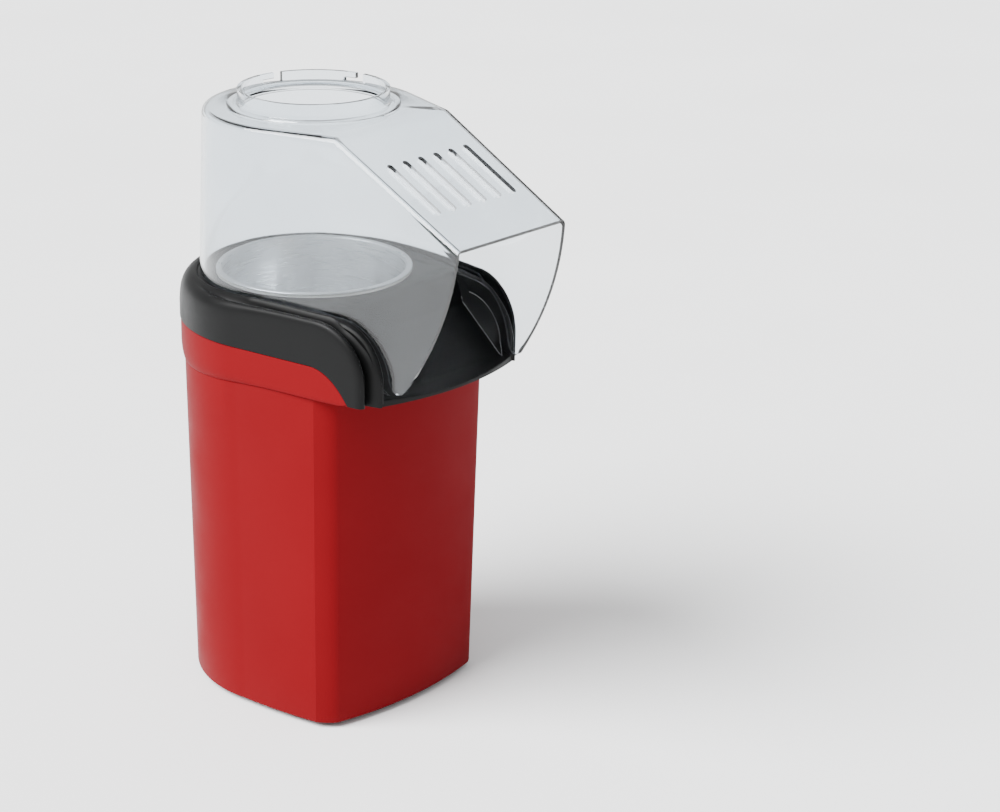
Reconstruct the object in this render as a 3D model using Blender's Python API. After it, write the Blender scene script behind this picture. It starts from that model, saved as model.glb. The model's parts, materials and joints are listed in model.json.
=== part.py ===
"""Hot-air popcorn maker.

Constants and outlines are in millimetres, meshes in metres. Every piece is built in one local frame:
the popping chamber's axis is x = y = 0, the chute faces -Y, and z = 0 is the red shell's bottom edge.
The root empty moves that frame, so that the world origin is under the middle of the whole machine, at
the height of the surface that its rubber feet stand on.
"""

import math

import bmesh
import bpy
from mathutils import Matrix, Vector

MM = 0.001
GAP = 0.3  # clearance between two pieces that touch

# Plan outlines are drawn with these many segments
FRONT_STEPS = 6
CORNER_STEPS = 4
REAR_STEPS = 24

# Whole machine
FOOT_RISE = 2.5
HEIGHT = 290.0  # shell's bottom edge to the top of the cover's ring
REAR_REACH = 64.4  # chamber axis to the back of the collar
FRONT_REACH = 124.2  # chamber axis to the cover's mouth
CHAMBER_Y = (FRONT_REACH - REAR_REACH) / 2

# Red shell: a round back, sides that converge, and a bowed front
SHELL_RADIUS = 60.0
SHELL_HALF = 51.0
SHELL_FRONT = -59.0
SHELL_BOW = 7.0
SHELL_CORNER = 12.0
SHELL_SIDE_BOW = 1.2
SHELL_DRAFT = 2.5 / 164.0
SHELL_WALL = 2.2
BAND_BOTTOM = 164.5
BAND_TOP = 181.0
BAND_INSET = 0.4  # the band stands this far inside the collar's face

# Collar and everything above the band share the plan of the overhanging top
TOP_HALF = 52.6
TOP_FRONT = -84.0
TOP_BOW = 10.0
TOP_CORNER = 8.0
TOP_SIDE_BOW = 0.6
COLLAR_SKIRT = 2.4
COLLAR_TOP_REAR = 208.5
COLLAR_LIP = 166.5
CHEEK_CENTRE = (-57.0, 176.7)
CHEEK_RADIUS = 26.3
CUT_START = (-54.0, BAND_TOP)  # where the collar's lower edge turns down over the cheeks
CUT_PULL = (-66.0, BAND_TOP)
CUT_END = (-75.5, COLLAR_LIP - 0.5)
INNER_RADIUS = 56.0
INNER_HALF = 48.5
FLANGE_UNDER = 199.8
SKIRT_FRONT = -50.0
MARGIN = 5.0  # how far cutters reach past what they cut

# Deck and chute
DECK_TOP = 202.5
DECK_THICK = 2.8
DECK_HOLE = 45.5
DECK_SKIRT_LOW = 193.0
RAIL_CENTRE = (-61.0, 175.3)
RAIL_RADIUS = DECK_TOP - RAIL_CENTRE[1]
RAIL_SINK = 0.6  # the rails' round fronts lie this much further from the cover's foot
CHUTE_FLOOR_HALF = 37.0
CHUTE_TOP_HALF = 42.0
CHUTE_FLOOR = [  # (y, z) of the floor's line, from the chamber's side to past the lip
    (-47, DECK_TOP),
    (-50, 200.6),
    (-53, 196.6),
    (-56, 192.0),
    (-60, 187.2),
    (-84, 170.8),
    (-90, 168.6),
    (-99, 167.8),
]
LIP_FRONT = -86.5
LIP_BOW = 7.0

# Clear cover
COVER_FOOT = DECK_TOP + GAP
COVER_WALL = 2.0
COVER_FOOT_RADIUS = 54.5
COVER_TOP_RADIUS = 51.9
COVER_TOP = 282.0
RING_RADIUS = 35.5
SLOPE_TOP = (-51.0, COVER_TOP)
SLOPE_END = (-FRONT_REACH, 245.0)
SLOPE_TOP_HALF = 37.6
SLOPE_END_HALF = 35.4
TIP = (-95.0, 173.2)
TIP_HALF = 39.4
MOUTH_BOW = 7.0
SLOTS = 6
SLOT_PITCH = 9.8
SLOT_WIDTH = 3.2
SLOPE_ROWS = (0.0, 0.14, 0.29, 0.5, 0.72, 0.86, 1.0)  # shares of the slope's length
SLOT_SPAN = (SLOPE_ROWS[2], SLOPE_ROWS[4])
# The foot's points on its quarter round, one for each inner row of the slope
SHOULDER_ANGLES = (2, 20, 42, 62, 80)
SHOULDER_TOP = -57.0
COVER_REAR_STEPS = 12
COVER_EDGE = 3.5

# Popping chamber, heater and air path
CHAMBER_RADIUS = 44.8
CHAMBER_WALL = 1.0
CHAMBER_FLOOR = 130.0
CHAMBER_RIM = 46.8
DOME_RISE = 10.0  # the chamber floor's cone
VENTS = 16
VENT_LEAN = 25.0
VENT_LOW = CHAMBER_FLOOR + 6.0
VENT_HIGH = CHAMBER_FLOOR + 17.0
SEAL_RIM = DECK_TOP + 1.5  # underside of the chamber's rim
DUCT_RADIUS = 50.5
DUCT_WALL = 1.6
DUCT_BOTTOM = 66.0
DUCT_TOP = 196.0
DUCT_FLANGE = 56.6
FLANGE_THICK = 2.0
MICA_SLEEVE = 1.0
SCREW_HOLE = 1.9
HEATER_BOTTOM = 97.0
HEATER_TOP = 122.0
COIL_RADIUS = 33.0
COIL_TURNS = 4
COIL_WIRE = 0.9
MICA_THICK = 1.4
THERMOSTAT_Z = 150.0
FUSE_Z = 166.0

# Motor and fan
MOTOR_RADIUS = 16.0
MOTOR_BOTTOM = 26.0
MOTOR_TOP = 62.0
FAN_BOTTOM = 73.0
FAN_TOP = 88.0
FAN_RADIUS = 43.0
BLADES = 9
SHAFT_RADIUS = 1.6
MOTOR_SCREW_SPOTS = [(-9, 0), (9, 0)]
MOTOR_SCREW_HOLE = 1.5
DISC_THICK = 1.4
HUB_RADIUS = 7.0
BLADE_BEND = 30.0

# Rear controls, on the shell's back wall
SWITCH_Z = 40.0
SWITCH_WIDE = 14.0
SWITCH_TALL = 20.0
INLET_Z = 14.0
INLET_RADIUS = 5.0
INLET_BORE = 2.8
ROCKER_LEAN = 8.0
ROCKER_FRONT = 3.2
ROCKER_BACK = -3.0
BEZEL_RIM = 3.6

# Base
BASE_LOW = 0.6
BASE_TOP = 3.4
POST_SPOTS = [(-40, -35.5), (40, -35.5), (-40, 35.5), (40, 35.5)]
POST_RADIUS = 3.6
POST_TOP = MOTOR_TOP
BOARD_CENTRE = (0, -41)
BOARD_LOW = 8.0
BOARD_THICK = 1.6
LEAD_RADIUS = 1.1
BOARD_PEGS = [(-15, -48), (15, -48), (-15, -34), (15, -34)]
INTAKE_SLOTS = 9
INTAKE_PITCH = 6.0
INTAKE_RADIUS = 29.0
INTAKE_HALF = 1.3
FOOT_BORE = 3.0
FOOT_RADIUS = 6.0
FOOT_SPOTS = [(-34, -46), (34, -46), (-30, 42), (30, 42)]


def clear_scene():
    for obj in list(bpy.data.objects):
        bpy.data.objects.remove(obj, do_unlink=True)


def make_material(name, color, roughness, metallic=0.0, alpha=1.0):
    material = bpy.data.materials.new(name)
    material.use_nodes = True
    shader = material.node_tree.nodes["Principled BSDF"]
    shader.inputs["Base Color"].default_value = (*color, 1.0)
    shader.inputs["Roughness"].default_value = roughness
    shader.inputs["Metallic"].default_value = metallic
    shader.inputs["Alpha"].default_value = alpha
    material.diffuse_color = (*color, alpha)
    return material


# Outlines ---------------------------------------------------------------------------------------


def bezier(start, pull, end, steps):
    """Points of a quadratic curve, both ends included."""
    start, pull, end = Vector(start), Vector(pull), Vector(end)
    points = []
    for i in range(steps + 1):
        t = i / steps
        points.append(tuple(start * (1 - t) ** 2 + pull * (2 * t * (1 - t)) + end * t**2))
    return points


def arc(centre, radius, start, end, steps):
    """Points of an arc, with its angles in degrees and both ends included."""
    angles = [math.radians(start + (end - start) * i / steps) for i in range(steps + 1)]
    return [(centre[0] + radius * math.cos(a), centre[1] + radius * math.sin(a)) for a in angles]


def tangent_angle(radius, half, front):
    """Angle, in radians, at which the line from the corner (half, front) meets the rear circle."""
    return math.atan2(front, half) + math.acos(radius / math.hypot(half, front))


def teardrop(radius, half, front, bow=0.0, corner=1.0, side_bow=0.0):
    """Plan outline, anticlockwise from the front's left end: front, right side, round back, left side."""
    right = Vector((half, front))
    edge = half - corner
    front_line = []
    for i in range(FRONT_STEPS + 1):
        x = -edge + 2 * edge * i / FRONT_STEPS
        front_line.append((x, front - bow * (1 - (x / half) ** 2)))
    turn = tangent_angle(radius, half, front)
    touch = Vector((radius * math.cos(turn), radius * math.sin(turn)))
    length = (touch - right).length
    outward = Vector((math.cos(turn), math.sin(turn)))
    side_line = []
    for t in (corner / length, 0.4, 0.7):
        side_line.append(tuple(right.lerp(touch, t) + outward * (side_bow * 4 * t * (1 - t))))
    corner_line = bezier(front_line[-1], tuple(right), side_line[0], CORNER_STEPS)[1:-1]
    rear = arc((0, 0), radius, math.degrees(turn), 180 - math.degrees(turn), REAR_STEPS)
    right_side = corner_line + side_line
    left_side = [(-x, y) for x, y in reversed(right_side)]
    return front_line + right_side + rear + left_side


def shell_outline(z, inset=0.0):
    grow = SHELL_DRAFT * z - inset
    radius, half, front = SHELL_RADIUS + grow, SHELL_HALF + grow, SHELL_FRONT - grow
    return teardrop(radius, half, front, SHELL_BOW, SHELL_CORNER - inset, SHELL_SIDE_BOW)


def top_outline(inset=0.0):
    radius, half, front = REAR_REACH - inset, TOP_HALF - inset, TOP_FRONT + inset
    return teardrop(radius, half, front, TOP_BOW, TOP_CORNER, TOP_SIDE_BOW)


def inner_outline(inset, front, bow=0.0):
    """The collar's inner edge, which its cheeks carry on straight to the front."""
    turn = tangent_angle(INNER_RADIUS, INNER_HALF, TOP_FRONT)
    half = INNER_HALF - (TOP_FRONT - front) * math.tan(-turn)
    return teardrop(INNER_RADIUS - inset, half - inset, front, bow)


def skirt_outline(inset):
    """Inside of the collar's skirt, behind the cheeks."""
    slope = math.tan(-tangent_angle(REAR_REACH, TOP_HALF, TOP_FRONT))
    half = TOP_HALF + (SKIRT_FRONT - TOP_FRONT) * slope - COLLAR_SKIRT
    return teardrop(REAR_REACH - COLLAR_SKIRT - inset, half - inset, SKIRT_FRONT + inset)


# Solids -----------------------------------------------------------------------------------------


def add_object(name, bm, material, location=(0, 0, 0)):
    """Makes an object of a bmesh in millimetres, with its normals out, under the root empty."""
    bmesh.ops.recalc_face_normals(bm, faces=bm.faces)
    bm.transform(Matrix.Diagonal((MM, MM, MM, 1)))
    mesh = bpy.data.meshes.new(name)
    bm.to_mesh(mesh)
    bm.free()
    mesh.materials.append(material)
    mesh.shade_smooth()
    mesh.set_sharp_from_angle(angle=math.radians(30))
    obj = bpy.data.objects.new(name, mesh)
    bpy.context.scene.collection.objects.link(obj)
    obj.parent = ROOT
    obj.location = Vector(location) * MM
    return obj


def loft(levels):
    """A closed solid through outlines of equal length: levels is [(outline, z), ...] from bottom to top."""
    bm = bmesh.new()
    rings = [[bm.verts.new((x, y, z)) for x, y in outline] for outline, z in levels]
    count = len(rings[0])
    for low, high in zip(rings, rings[1:]):
        for i in range(count):
            j = (i + 1) % count
            bm.faces.new((low[i], low[j], high[j], high[i]))
    bm.faces.new(reversed(rings[0]))
    bm.faces.new(rings[-1])
    return bm


def side_prism(profile, half):
    """A prism of a (y, z) outline, from x = -half to x = +half."""
    bm = bmesh.new()
    face = bm.faces.new([bm.verts.new((-half, y, z)) for y, z in profile])
    swept = bmesh.ops.extrude_face_region(bm, geom=[face])["geom"]
    moved = [item for item in swept if isinstance(item, bmesh.types.BMVert)]
    bmesh.ops.translate(bm, verts=moved, vec=(2 * half, 0, 0))
    return bm


def lathe(profile, steps=32, centre=(0, 0)):
    """A closed (radius, z) profile turned about a vertical axis."""
    bm = bmesh.new()
    verts = [bm.verts.new((radius, 0, z)) for radius, z in profile]
    edges = [bm.edges.new((verts[i], verts[(i + 1) % len(verts)])) for i in range(len(verts))]
    bmesh.ops.spin(
        bm, geom=verts + edges, cent=(0, 0, 0), axis=(0, 0, 1), angle=math.tau, steps=steps, use_merge=True
    )
    bmesh.ops.remove_doubles(bm, verts=bm.verts, dist=1e-4)
    on_axis = [edge for edge in bm.edges if not edge.link_faces]
    bmesh.ops.delete(bm, geom=on_axis, context="EDGES")
    bmesh.ops.translate(bm, verts=bm.verts, vec=(*centre, 0))
    return bm


def block(low, high):
    """A box between two corners."""
    bm = bmesh.new()
    low, high = Vector(low), Vector(high)
    size = Matrix.Diagonal((*(high - low), 1))
    bmesh.ops.create_cube(bm, size=1.0, matrix=Matrix.Translation((low + high) / 2) @ size)
    return bm


def cylinder(radius, low, high, centre=(0, 0), steps=16):
    bm = bmesh.new()
    place = Matrix.Translation((*centre, (low + high) / 2))
    bmesh.ops.create_cone(
        bm, cap_ends=True, segments=steps, radius1=radius, radius2=radius, depth=high - low, matrix=place
    )
    return bm


def turned(bm, matrix):
    bm.transform(matrix)
    return bm


def joined(parts):
    """Several bmeshes as one, for a cutter with many separate shapes."""
    whole = bmesh.new()
    for part in parts:
        mesh = bpy.data.meshes.new("shape")
        part.to_mesh(mesh)
        part.free()
        whole.from_mesh(mesh)
        bpy.data.meshes.remove(mesh)
    return whole


def use(obj, tool, operation, name):
    """Adds a Boolean modifier with a tool that stays hidden."""
    tool.hide_render = True
    tool.display_type = "WIRE"
    modifier = obj.modifiers.new(name, "BOOLEAN")
    modifier.operation = operation
    modifier.solver = "EXACT"
    modifier.object = tool


def combine(obj, bm, operation, name):
    """Adds a Boolean modifier whose tool is a bmesh, placed as the object is."""
    tool = add_object(f"{obj.name}_{name}", bm, MATERIALS["cutter"])
    tool.location = obj.location
    use(obj, tool, operation, name)


def cut(obj, bm, name):
    combine(obj, bm, "DIFFERENCE", name)


def add(obj, bm, name):
    combine(obj, bm, "UNION", name)


def keep(obj, bm, name):
    combine(obj, bm, "INTERSECT", name)


def wire(name, points, radius, material, sides=2):
    """A lead or a rod along a line of points."""
    curve = bpy.data.curves.new(name, "CURVE")
    curve.dimensions = "3D"
    curve.bevel_depth = radius * MM
    curve.bevel_resolution = sides
    curve.use_fill_caps = True
    spline = curve.splines.new("POLY")
    spline.points.add(len(points) - 1)
    for point, place in zip(spline.points, points):
        point.co = (*(Vector(place) * MM), 1.0)
    curve.materials.append(material)
    obj = bpy.data.objects.new(name, curve)
    bpy.context.scene.collection.objects.link(obj)
    obj.parent = ROOT


def smooth_path(points, steps):
    """A Catmull-Rom curve through hand-placed points."""
    points = [Vector(p) for p in points]
    ends = [points[0] * 2 - points[1]] + points + [points[-1] * 2 - points[-2]]
    path = []
    for a, b, c, d in zip(ends, ends[1:], ends[2:], ends[3:]):
        second, third = 2 * a - 5 * b + 4 * c - d, 3 * b - a - 3 * c + d
        for i in range(steps):
            t = i / steps
            path.append(0.5 * (2 * b + (c - a) * t + second * t**2 + third * t**3))
    return path + [points[-1]]


# Outer shells -----------------------------------------------------------------------------------


def lower_edge(gap):
    """The collar's lower edge where it turns down over the cheeks, moved forward and up by a gap."""
    return [(y - gap, z + gap) for y, z in bezier(CUT_START, CUT_PULL, CUT_END, 6)]


def cheek_cut():
    """Side profile of everything in front of the collar's lower edge."""
    top, bottom = COLLAR_TOP_REAR + MARGIN, BAND_BOTTOM - MARGIN
    back = [(CUT_START[0], top)] + lower_edge(0) + [(CUT_END[0], bottom)]
    return back + [(-FRONT_REACH, bottom), (-FRONT_REACH, top)]


def build_body_shell():
    wall_top = BAND_BOTTOM + 1
    wall = loft([(shell_outline(0), 0), (shell_outline(wall_top), wall_top)])
    shell = add_object("body_shell", wall, MATERIALS["red_shell"])
    band = top_outline(BAND_INSET)
    add(shell, loft([(band, BAND_BOTTOM), (band, BAND_TOP)]), "band")
    hollow_top = BAND_BOTTOM + SHELL_WALL
    low, high = shell_outline(0, SHELL_WALL), shell_outline(BAND_BOTTOM, SHELL_WALL)
    cut(shell, loft([(low, -1), (high, hollow_top + 1)]), "hollow")
    band_hollow = top_outline(BAND_INSET + SHELL_WALL)
    cut(shell, loft([(band_hollow, hollow_top), (band_hollow, BAND_TOP + 1)]), "band_hollow")
    cut(shell, side_prism(cheek_cut(), REAR_REACH + MARGIN), "cheek_line")
    near, far = SHELL_RADIUS - 2 * MARGIN, SHELL_RADIUS + 2 * MARGIN
    cut(shell, switch_block(SWITCH_WIDE, SWITCH_TALL, near, far), "switch_hole")
    cut(shell, along_y(cylinder(INLET_RADIUS, near, far), INLET_Z), "inlet_hole")


def along_y(bm, z):
    """Lays a vertical shape down, so that its axis runs towards +Y at the given height."""
    return turned(bm, Matrix.Translation((0, 0, z)) @ Matrix.Rotation(math.radians(-90), 4, "X"))


def build_collar():
    outer = top_outline()
    block_levels = [(outer, BAND_BOTTOM - MARGIN), (outer, COLLAR_TOP_REAR + MARGIN)]
    collar = add_object("top_collar", loft(block_levels), MATERIALS["black_plastic"])
    lower = lower_edge(GAP)[:-1] + [(CUT_END[0] - GAP, COLLAR_LIP)]
    front = CHEEK_CENTRE[0] - CHEEK_RADIUS
    rear = REAR_REACH + MARGIN
    arch = arc(CHEEK_CENTRE, CHEEK_RADIUS, 180, 90, 10)
    profile = [(rear, BAND_TOP + GAP)] + lower + [(front, COLLAR_LIP)] + arch + [(rear, COLLAR_TOP_REAR)]
    keep(collar, side_prism(profile, REAR_REACH + MARGIN), "side_view")
    inner = inner_outline(0, TOP_FRONT - 30)
    cut(collar, loft([(inner, COLLAR_LIP - MARGIN), (inner, COLLAR_TOP_REAR + MARGIN)]), "opening")
    skirt = skirt_outline(0)
    cut(collar, loft([(skirt, COLLAR_LIP - MARGIN), (skirt, FLANGE_UNDER)]), "skirt_hollow")


def deck_profile(drop):
    """Side profile of the deck and its rails, from the back to the foot of the front, lowered by drop."""
    arch = arc(RAIL_CENTRE, RAIL_RADIUS - RAIL_SINK - drop, 90, 180, 8)
    return [(REAR_REACH, DECK_TOP - drop)] + arch


def chute_profile(drop):
    """Side profile of the chute's space, whose lower line is its floor."""
    floor = [(y, z - drop) for y, z in CHUTE_FLOOR]
    return [(CHUTE_FLOOR[0][0], DECK_TOP + 20)] + floor + [(CHUTE_FLOOR[-1][0], DECK_TOP + 20)]


def chute_space(drop, wider):
    """The chute's channel: its walls lean out from the floor to the deck."""
    bm = side_prism(chute_profile(drop), 1.0)
    low, high = CHUTE_FLOOR[-1][1], DECK_TOP
    for vert in bm.verts:
        rise = min(max((vert.co.z + drop - low) / (high - low), 0), 1)
        vert.co.x *= CHUTE_FLOOR_HALF + wider + (CHUTE_TOP_HALF - CHUTE_FLOOR_HALF) * rise
    return bm


def build_chute_deck():
    inner = inner_outline(GAP, LIP_FRONT, LIP_BOW)
    slab = loft([(inner, COLLAR_LIP), (inner, DECK_TOP)])
    deck = add_object("chute_deck", slab, MATERIALS["black_plastic"])
    ledge = BAND_BOTTOM + SHELL_WALL + GAP
    ledge_front = CUT_END[0] - 2 * GAP
    rail_front = RAIL_CENTRE[0] - RAIL_RADIUS
    below = COLLAR_LIP - MARGIN
    view = deck_profile(0) + [
        (rail_front, RAIL_CENTRE[1] - 2),
        (-FRONT_REACH, RAIL_CENTRE[1] - 2),
        (-FRONT_REACH, below),
        (ledge_front, below),
        (ledge_front, ledge),
        (SKIRT_FRONT, ledge),
        (SKIRT_FRONT, DECK_SKIRT_LOW),
        (REAR_REACH, DECK_SKIRT_LOW),
    ]
    keep(deck, side_prism(view, REAR_REACH), "side_view")
    cut(deck, chute_space(0, 0), "chute")
    hollow = inner_outline(GAP + DECK_THICK, LIP_FRONT + DECK_THICK, LIP_BOW)
    space = loft([(hollow, below), (hollow, DECK_TOP - DECK_THICK)])
    inside = add_object("deck_inside", space, MATERIALS["cutter"])
    low_view = deck_profile(DECK_THICK) + [(rail_front + DECK_THICK, below), (REAR_REACH, below)]
    keep(inside, side_prism(low_view, REAR_REACH), "side_view")
    cut(inside, chute_space(DECK_THICK, DECK_THICK), "chute")
    use(deck, inside, "DIFFERENCE", "underside")
    flange = skirt_outline(GAP)
    step = FLANGE_UNDER - GAP
    plate = loft([(flange, step - DECK_THICK), (flange, step)])
    ring = add_object("deck_flange", plate, MATERIALS["cutter"])
    cut(ring, loft([(hollow, COLLAR_LIP), (hollow, DECK_TOP)]), "inside")
    use(deck, ring, "UNION", "flange")
    cut(deck, cylinder(DECK_HOLE, COLLAR_LIP, DECK_TOP + MARGIN, steps=40), "chamber_hole")


# Clear cover ------------------------------------------------------------------------------------


def slope_point(t):
    """(half width, y, z) on the sloping panel's edge, t from its crease to the mouth."""
    y = SLOPE_TOP[0] + (SLOPE_END[0] - SLOPE_TOP[0]) * t
    z = SLOPE_TOP[1] + (SLOPE_END[1] - SLOPE_TOP[1]) * t
    return SLOPE_TOP_HALF + (SLOPE_END_HALF - SLOPE_TOP_HALF) * t, y, z


def foot_point(y, z):
    """The cover's foot on the right side, on the line from the tip to the rear circle."""
    turn = tangent_angle(COVER_FOOT_RADIUS, TIP_HALF, TIP[0])
    x = TIP_HALF + (y - TIP[0]) * math.tan(-turn)
    return x, y, z


def cover_stations():
    """Pairs of (foot, top) points of the right side's wall, from the mouth to the middle of the back."""
    rail = RAIL_RADIUS + GAP
    pairs = [(foot_point(*TIP), slope_point(1.0))]
    for t, angle in zip(reversed(SLOPE_ROWS[1:-1]), SHOULDER_ANGLES):
        bend = math.radians(angle)
        y = RAIL_CENTRE[0] - rail * math.cos(bend)
        z = RAIL_CENTRE[1] + rail * math.sin(bend)
        pairs.append((foot_point(y, z), slope_point(t)))
    level_foot, crease = Vector(foot_point(SHOULDER_TOP, COVER_FOOT)), Vector(slope_point(0.0))
    pairs.append((level_foot, crease))
    foot_turn = tangent_angle(COVER_FOOT_RADIUS, TIP_HALF, TIP[0])
    top_turn = tangent_angle(COVER_TOP_RADIUS, SLOPE_TOP_HALF, SLOPE_TOP[0])
    foot_touch = Vector((math.cos(foot_turn), math.sin(foot_turn))) * COVER_FOOT_RADIUS
    top_touch = Vector((math.cos(top_turn), math.sin(top_turn))) * COVER_TOP_RADIUS
    for t in (1 / 3, 2 / 3):
        foot = level_foot.lerp((*foot_touch, COVER_FOOT), t)
        pairs.append((foot, crease.lerp((*top_touch, COVER_TOP), t)))
    quarter = math.degrees(math.pi / 2)
    foot_arc = arc((0, 0), COVER_FOOT_RADIUS, math.degrees(foot_turn), quarter, COVER_REAR_STEPS)
    top_arc = arc((0, 0), COVER_TOP_RADIUS, math.degrees(top_turn), quarter, COVER_REAR_STEPS)
    pairs += [((*foot, COVER_FOOT), (*top, COVER_TOP)) for foot, top in zip(foot_arc, top_arc)]
    return pairs


def wall_column(foot, top, bow, rows=5):
    points = []
    for i in range(rows + 1):
        v = i / rows
        x, y, z = Vector(foot).lerp(top, v)
        points.append((x, y - bow * 4 * v * (1 - v), z))
    return points


def cover_columns():
    """The whole wall's columns of points, from the left of the mouth round the back to the right."""
    bows = [MOUTH_BOW, MOUTH_BOW * 0.6, MOUTH_BOW * 0.3, MOUTH_BOW * 0.1]
    right = []
    for i, (foot, top) in enumerate(cover_stations()):
        right.append(wall_column(foot, top, bows[i] if i < len(bows) else 0.0))
    left = [[(-x, y, z) for x, y, z in column] for column in right[:-1]]
    return left + right[::-1]


def cover_skin():
    """The cover's outer surface, open at the foot, the mouth, the slots and the ring."""
    bm = bmesh.new()
    made = {}

    def vert(point):
        key = tuple(round(c, 4) for c in point)
        if key not in made:
            made[key] = bm.verts.new(point)
        return made[key]

    def quad(*points):
        bm.faces.new([vert(p) for p in points])

    columns = cover_columns()
    for left, right in zip(columns, columns[1:]):
        for i in range(len(left) - 1):
            quad(left[i], right[i], right[i + 1], left[i + 1])
    slot_lines = []
    for i in range(SLOTS):
        centre = (i - (SLOTS - 1) / 2) * SLOT_PITCH
        slot_lines += [centre - SLOT_WIDTH / 2, centre + SLOT_WIDTH / 2]
    grid = []
    for t in SLOPE_ROWS:
        half, y, z = slope_point(t)
        grid.append([(x, y, z) for x in [-half] + slot_lines + [half]])
    for t, near, far in zip(SLOPE_ROWS, grid, grid[1:]):
        for i in range(len(near) - 1):
            is_slot = i % 2 == 1 and SLOT_SPAN[0] <= t < SLOT_SPAN[1]
            if not is_slot:
                quad(near[i], near[i + 1], far[i + 1], far[i])
    tops = [column[-1] for column in columns]
    flat = [p for p in tops if p[2] > COVER_TOP - 0.01]
    edge = flat + grid[0][-2:0:-1]
    inner = []
    for x, y, z in edge:
        reach = math.hypot(x, y)
        inner.append((RING_RADIUS * x / reach, RING_RADIUS * y / reach))
    for i in range(len(edge)):
        j = (i + 1) % len(edge)
        quad(edge[i], edge[j], (*inner[j], COVER_TOP), (*inner[i], COVER_TOP))
        quad((*inner[i], COVER_TOP), (*inner[j], COVER_TOP), (*inner[j], HEIGHT), (*inner[i], HEIGHT))
    bmesh.ops.recalc_face_normals(bm, faces=bm.faces)
    highest = max(bm.faces, key=lambda face: face.normal.z)
    if highest.calc_center_median().z < 200:
        bmesh.ops.reverse_faces(bm, faces=bm.faces)
    return bm


def build_cover():
    skin = cover_skin()
    skin.transform(Matrix.Diagonal((MM, MM, MM, 1)))
    mesh = bpy.data.meshes.new("clear_cover")
    skin.to_mesh(mesh)
    skin.free()
    mesh.materials.append(MATERIALS["clear_plastic"])
    cover = bpy.data.objects.new("clear_cover", mesh)
    bpy.context.scene.collection.objects.link(cover)
    cover.parent = ROOT
    rounding = cover.modifiers.new("rounding", "BEVEL")
    rounding.width = COVER_EDGE * MM
    rounding.segments = 2
    rounding.limit_method = "ANGLE"
    rounding.angle_limit = math.radians(45)
    shell = cover.modifiers.new("wall", "SOLIDIFY")
    shell.thickness = COVER_WALL * MM
    shell.offset = -1
    shell.use_even_offset = True


# Popping chamber, heater and air path -----------------------------------------------------------


def build_chamber():
    outside, inside = CHAMBER_RADIUS, CHAMBER_RADIUS - CHAMBER_WALL
    cone = [(0, CHAMBER_FLOOR + DOME_RISE), (12, CHAMBER_FLOOR + 0.7 * DOME_RISE), (30, CHAMBER_FLOOR)]
    profile = cone + [
        (outside - 3, CHAMBER_FLOOR),
        (outside, CHAMBER_FLOOR + 3),
        (outside, SEAL_RIM),
        (CHAMBER_RIM, SEAL_RIM),
        (CHAMBER_RIM, SEAL_RIM + CHAMBER_WALL),
        (inside, SEAL_RIM + CHAMBER_WALL),
        (inside, CHAMBER_FLOOR + 3.5),
        (inside - 2.5, CHAMBER_FLOOR + CHAMBER_WALL),
    ]
    profile += [(radius, z + CHAMBER_WALL) for radius, z in reversed(cone)]
    chamber = add_object("popping_chamber", lathe(profile, steps=40), MATERIALS["aluminium"])
    middle = (VENT_LOW + VENT_HIGH) / 2
    up, down = Matrix.Translation((0, 0, middle)), Matrix.Translation((0, 0, -middle))
    lean = up @ Matrix.Rotation(math.radians(VENT_LEAN), 4, "Y") @ down
    vents = []
    for i in range(VENTS):
        louvre = block((-0.8, -outside - 2, VENT_LOW), (0.8, -outside + 3, VENT_HIGH))
        vents.append(turned(louvre, Matrix.Rotation(math.tau * i / VENTS, 4, "Z") @ lean))
    cut(chamber, joined(vents), "vents")
    low, high = DECK_TOP + GAP, SEAL_RIM - GAP
    near, far = outside + GAP, CHAMBER_RIM
    seal = [(near, low), (far, low), (far, high), (near, high)]
    add_object("chamber_seal", lathe(seal, steps=40), MATERIALS["silicone"])


def build_air_duct():
    inner = DUCT_RADIUS - DUCT_WALL
    profile = [
        (inner, DUCT_BOTTOM),
        (DUCT_FLANGE, DUCT_BOTTOM),
        (DUCT_FLANGE, DUCT_BOTTOM + FLANGE_THICK),
        (DUCT_RADIUS, DUCT_BOTTOM + FLANGE_THICK),
        (DUCT_RADIUS, DUCT_TOP),
        (inner, DUCT_TOP),
    ]
    duct = add_object("air_duct", lathe(profile, steps=36), MATERIALS["steel"])
    low, high = DUCT_BOTTOM - MARGIN, DUCT_BOTTOM + MARGIN
    holes = [cylinder(SCREW_HOLE, low, high, spot, 10) for spot in POST_SPOTS]
    cut(duct, joined(holes), "screw_holes")
    near, far = inner - GAP - MICA_SLEEVE, inner - GAP
    low, high = HEATER_BOTTOM - MARGIN, HEATER_TOP + 4
    sleeve = [(near, low), (far, low), (far, high), (near, high)]
    add_object("mica_sleeve", lathe(sleeve, steps=36), MATERIALS["mica"])


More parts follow.
